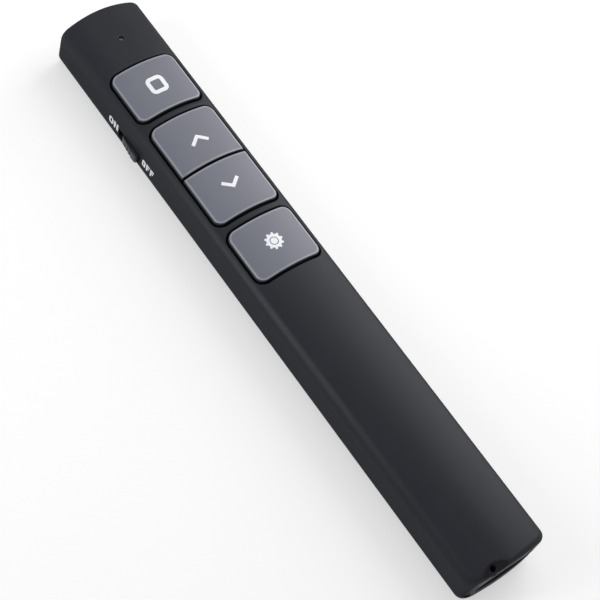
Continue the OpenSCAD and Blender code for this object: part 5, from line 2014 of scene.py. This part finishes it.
@dataclass
class Studio:
    """Camera, floor, lamps and the plain white surroundings."""

    target: Place = (-0.27, -5.55, 6.6)
    distance: float = 320.0
    azimuth: float = -54.21
    elevation: float = 59.46
    roll: float = 21.23
    lens: float = 92.17
    floor_half: float = 900.0
    floor_tone: float = 0.6
    floor_lift: float = 0.52
    floor_roughness: float = 0.9
    floor_specular: float = 0.1
    sky: float = 0.22
    lamps: tuple[Lamp, ...] = (
        Lamp("right softbox", (270, 60, 170), (260, 420), 0.98, (1.0, 0.995, 0.98)),
        Lamp("left softbox", (-315, 100, 100), (60, 420), 0.68, (0.95, 0.97, 1.0)),
        Lamp("overhead softbox", (60, 160, 340), (200, 200), 0.2))

    def build(self) -> None:
        """Set up the stage."""
        scene = bpy.context.scene
        scene.view_settings.view_transform = "Standard"
        self._camera(scene)
        self._floor()
        self._surroundings(scene)
        for lamp in self.lamps:
            self._hang(lamp)
        log.info("studio with %d lamps", len(self.lamps))

    def _camera(self, scene: bpy.types.Scene) -> None:
        """The camera at its measured place."""
        a, e = math.radians(self.azimuth), math.radians(self.elevation)
        back = Vector((math.sin(a) * math.cos(e), -math.cos(a) * math.cos(e), math.sin(e)))
        lens = bpy.data.cameras.new("camera")
        lens.lens, lens.sensor_width = self.lens, 36
        lens.clip_start, lens.clip_end = 0.01, 10
        camera = bpy.data.objects.new("camera", lens)
        camera.rotation_mode = "QUATERNION"
        turn = Euler((0, 0, math.radians(self.roll))).to_quaternion()
        camera.rotation_quaternion = back.to_track_quat("Z", "Y") @ turn
        camera.location = (Vector(self.target) + back * self.distance) * MM
        scene.collection.objects.link(camera)
        scene.camera = camera

    @staticmethod
    def _seen(tree: Tree) -> Socket:
        """1 for what the camera, a mirror or a glass shows, 0 for what lights the scene."""
        path = added(tree, "ShaderNodeLightPath").outputs
        mirrored = maths(tree, "MAXIMUM", path["Is Camera Ray"], path["Is Glossy Ray"])
        return maths(tree, "MAXIMUM", mirrored, path["Is Transmission Ray"])

    def _floor(self) -> None:
        """A plain pale floor that keeps the object's shadow."""
        half = self.floor_half
        solid = Solid()
        solid.faces.append(tuple(solid.add([(-half, -half, 0), (half, -half, 0), (half, half, 0),
                                            (-half, half, 0)])))
        floor = solid.piece("floor")
        made = bpy.data.materials.new("pale floor")
        made.use_nodes = True
        tree = made.node_tree
        shader = fed(tree, tree.nodes["Principled BSDF"], {
            "Roughness": self.floor_roughness, "Specular IOR Level": self.floor_specular,
            "Base Color": (*[self.floor_tone] * 3, 1)})
        lift = added(tree, "ShaderNodeEmission", {
            "Strength": maths(tree, "MULTIPLY", self._seen(tree), self.floor_lift)})
        both = added(tree, "ShaderNodeAddShader", {0: shader.outputs["BSDF"],
                                                   1: lift.outputs["Emission"]})
        fed(tree, tree.nodes["Material Output"], {"Surface": both.outputs["Shader"]})
        floor.data.materials.append(made)

    def _surroundings(self, scene: bpy.types.Scene) -> None:
        """White to the camera and in mirrors, softer as light."""
        world = bpy.data.worlds.new("surroundings")
        world.use_nodes = True
        tree = world.node_tree
        fed(tree, tree.nodes["Background"], {
            "Color": (1, 1, 1, 1),
            "Strength": ranged(tree, self._seen(tree), (0, 1), (self.sky, 1))})
        scene.world = world

    @staticmethod
    def _hang(lamp: Lamp) -> None:
        """Hang one soft lamp."""
        data = bpy.data.lights.new(lamp.name, "AREA")
        data.shape = "RECTANGLE"
        data.size, data.size_y = lamp.size[0] * MM, lamp.size[1] * MM
        data.energy = lamp.power
        data.color = lamp.colour
        hung = bpy.data.objects.new(lamp.name, data)
        hung.location = Vector(lamp.place) * MM
        back = Vector(lamp.place) - Vector(lamp.aim)
        hung.rotation_euler = back.to_track_quat("Z", "Y").to_euler()
        bpy.context.scene.collection.objects.link(hung)


def main() -> None:
    """Load the frame, then build and dress the clicker from outside in."""
    logging.basicConfig(level=logging.INFO, format="%(name)s: %(message)s")
    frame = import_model()
    Studio().build()
    bench = Bench(frame["nodes"], Effects(), Patterns())
    form = BodyForm()
    keys = Keys(bench, form)
    for maker in (Housing(bench, form, keys), keys, SideWords(bench, form), Slider(bench),
                  Switches(bench), Board(bench), Optics(bench), Power(bench), Receiver(bench),
                  Screws(bench)):
        log.info("making %s", type(maker).__name__)
        maker.build()


if __name__ == "__main__":
    main()
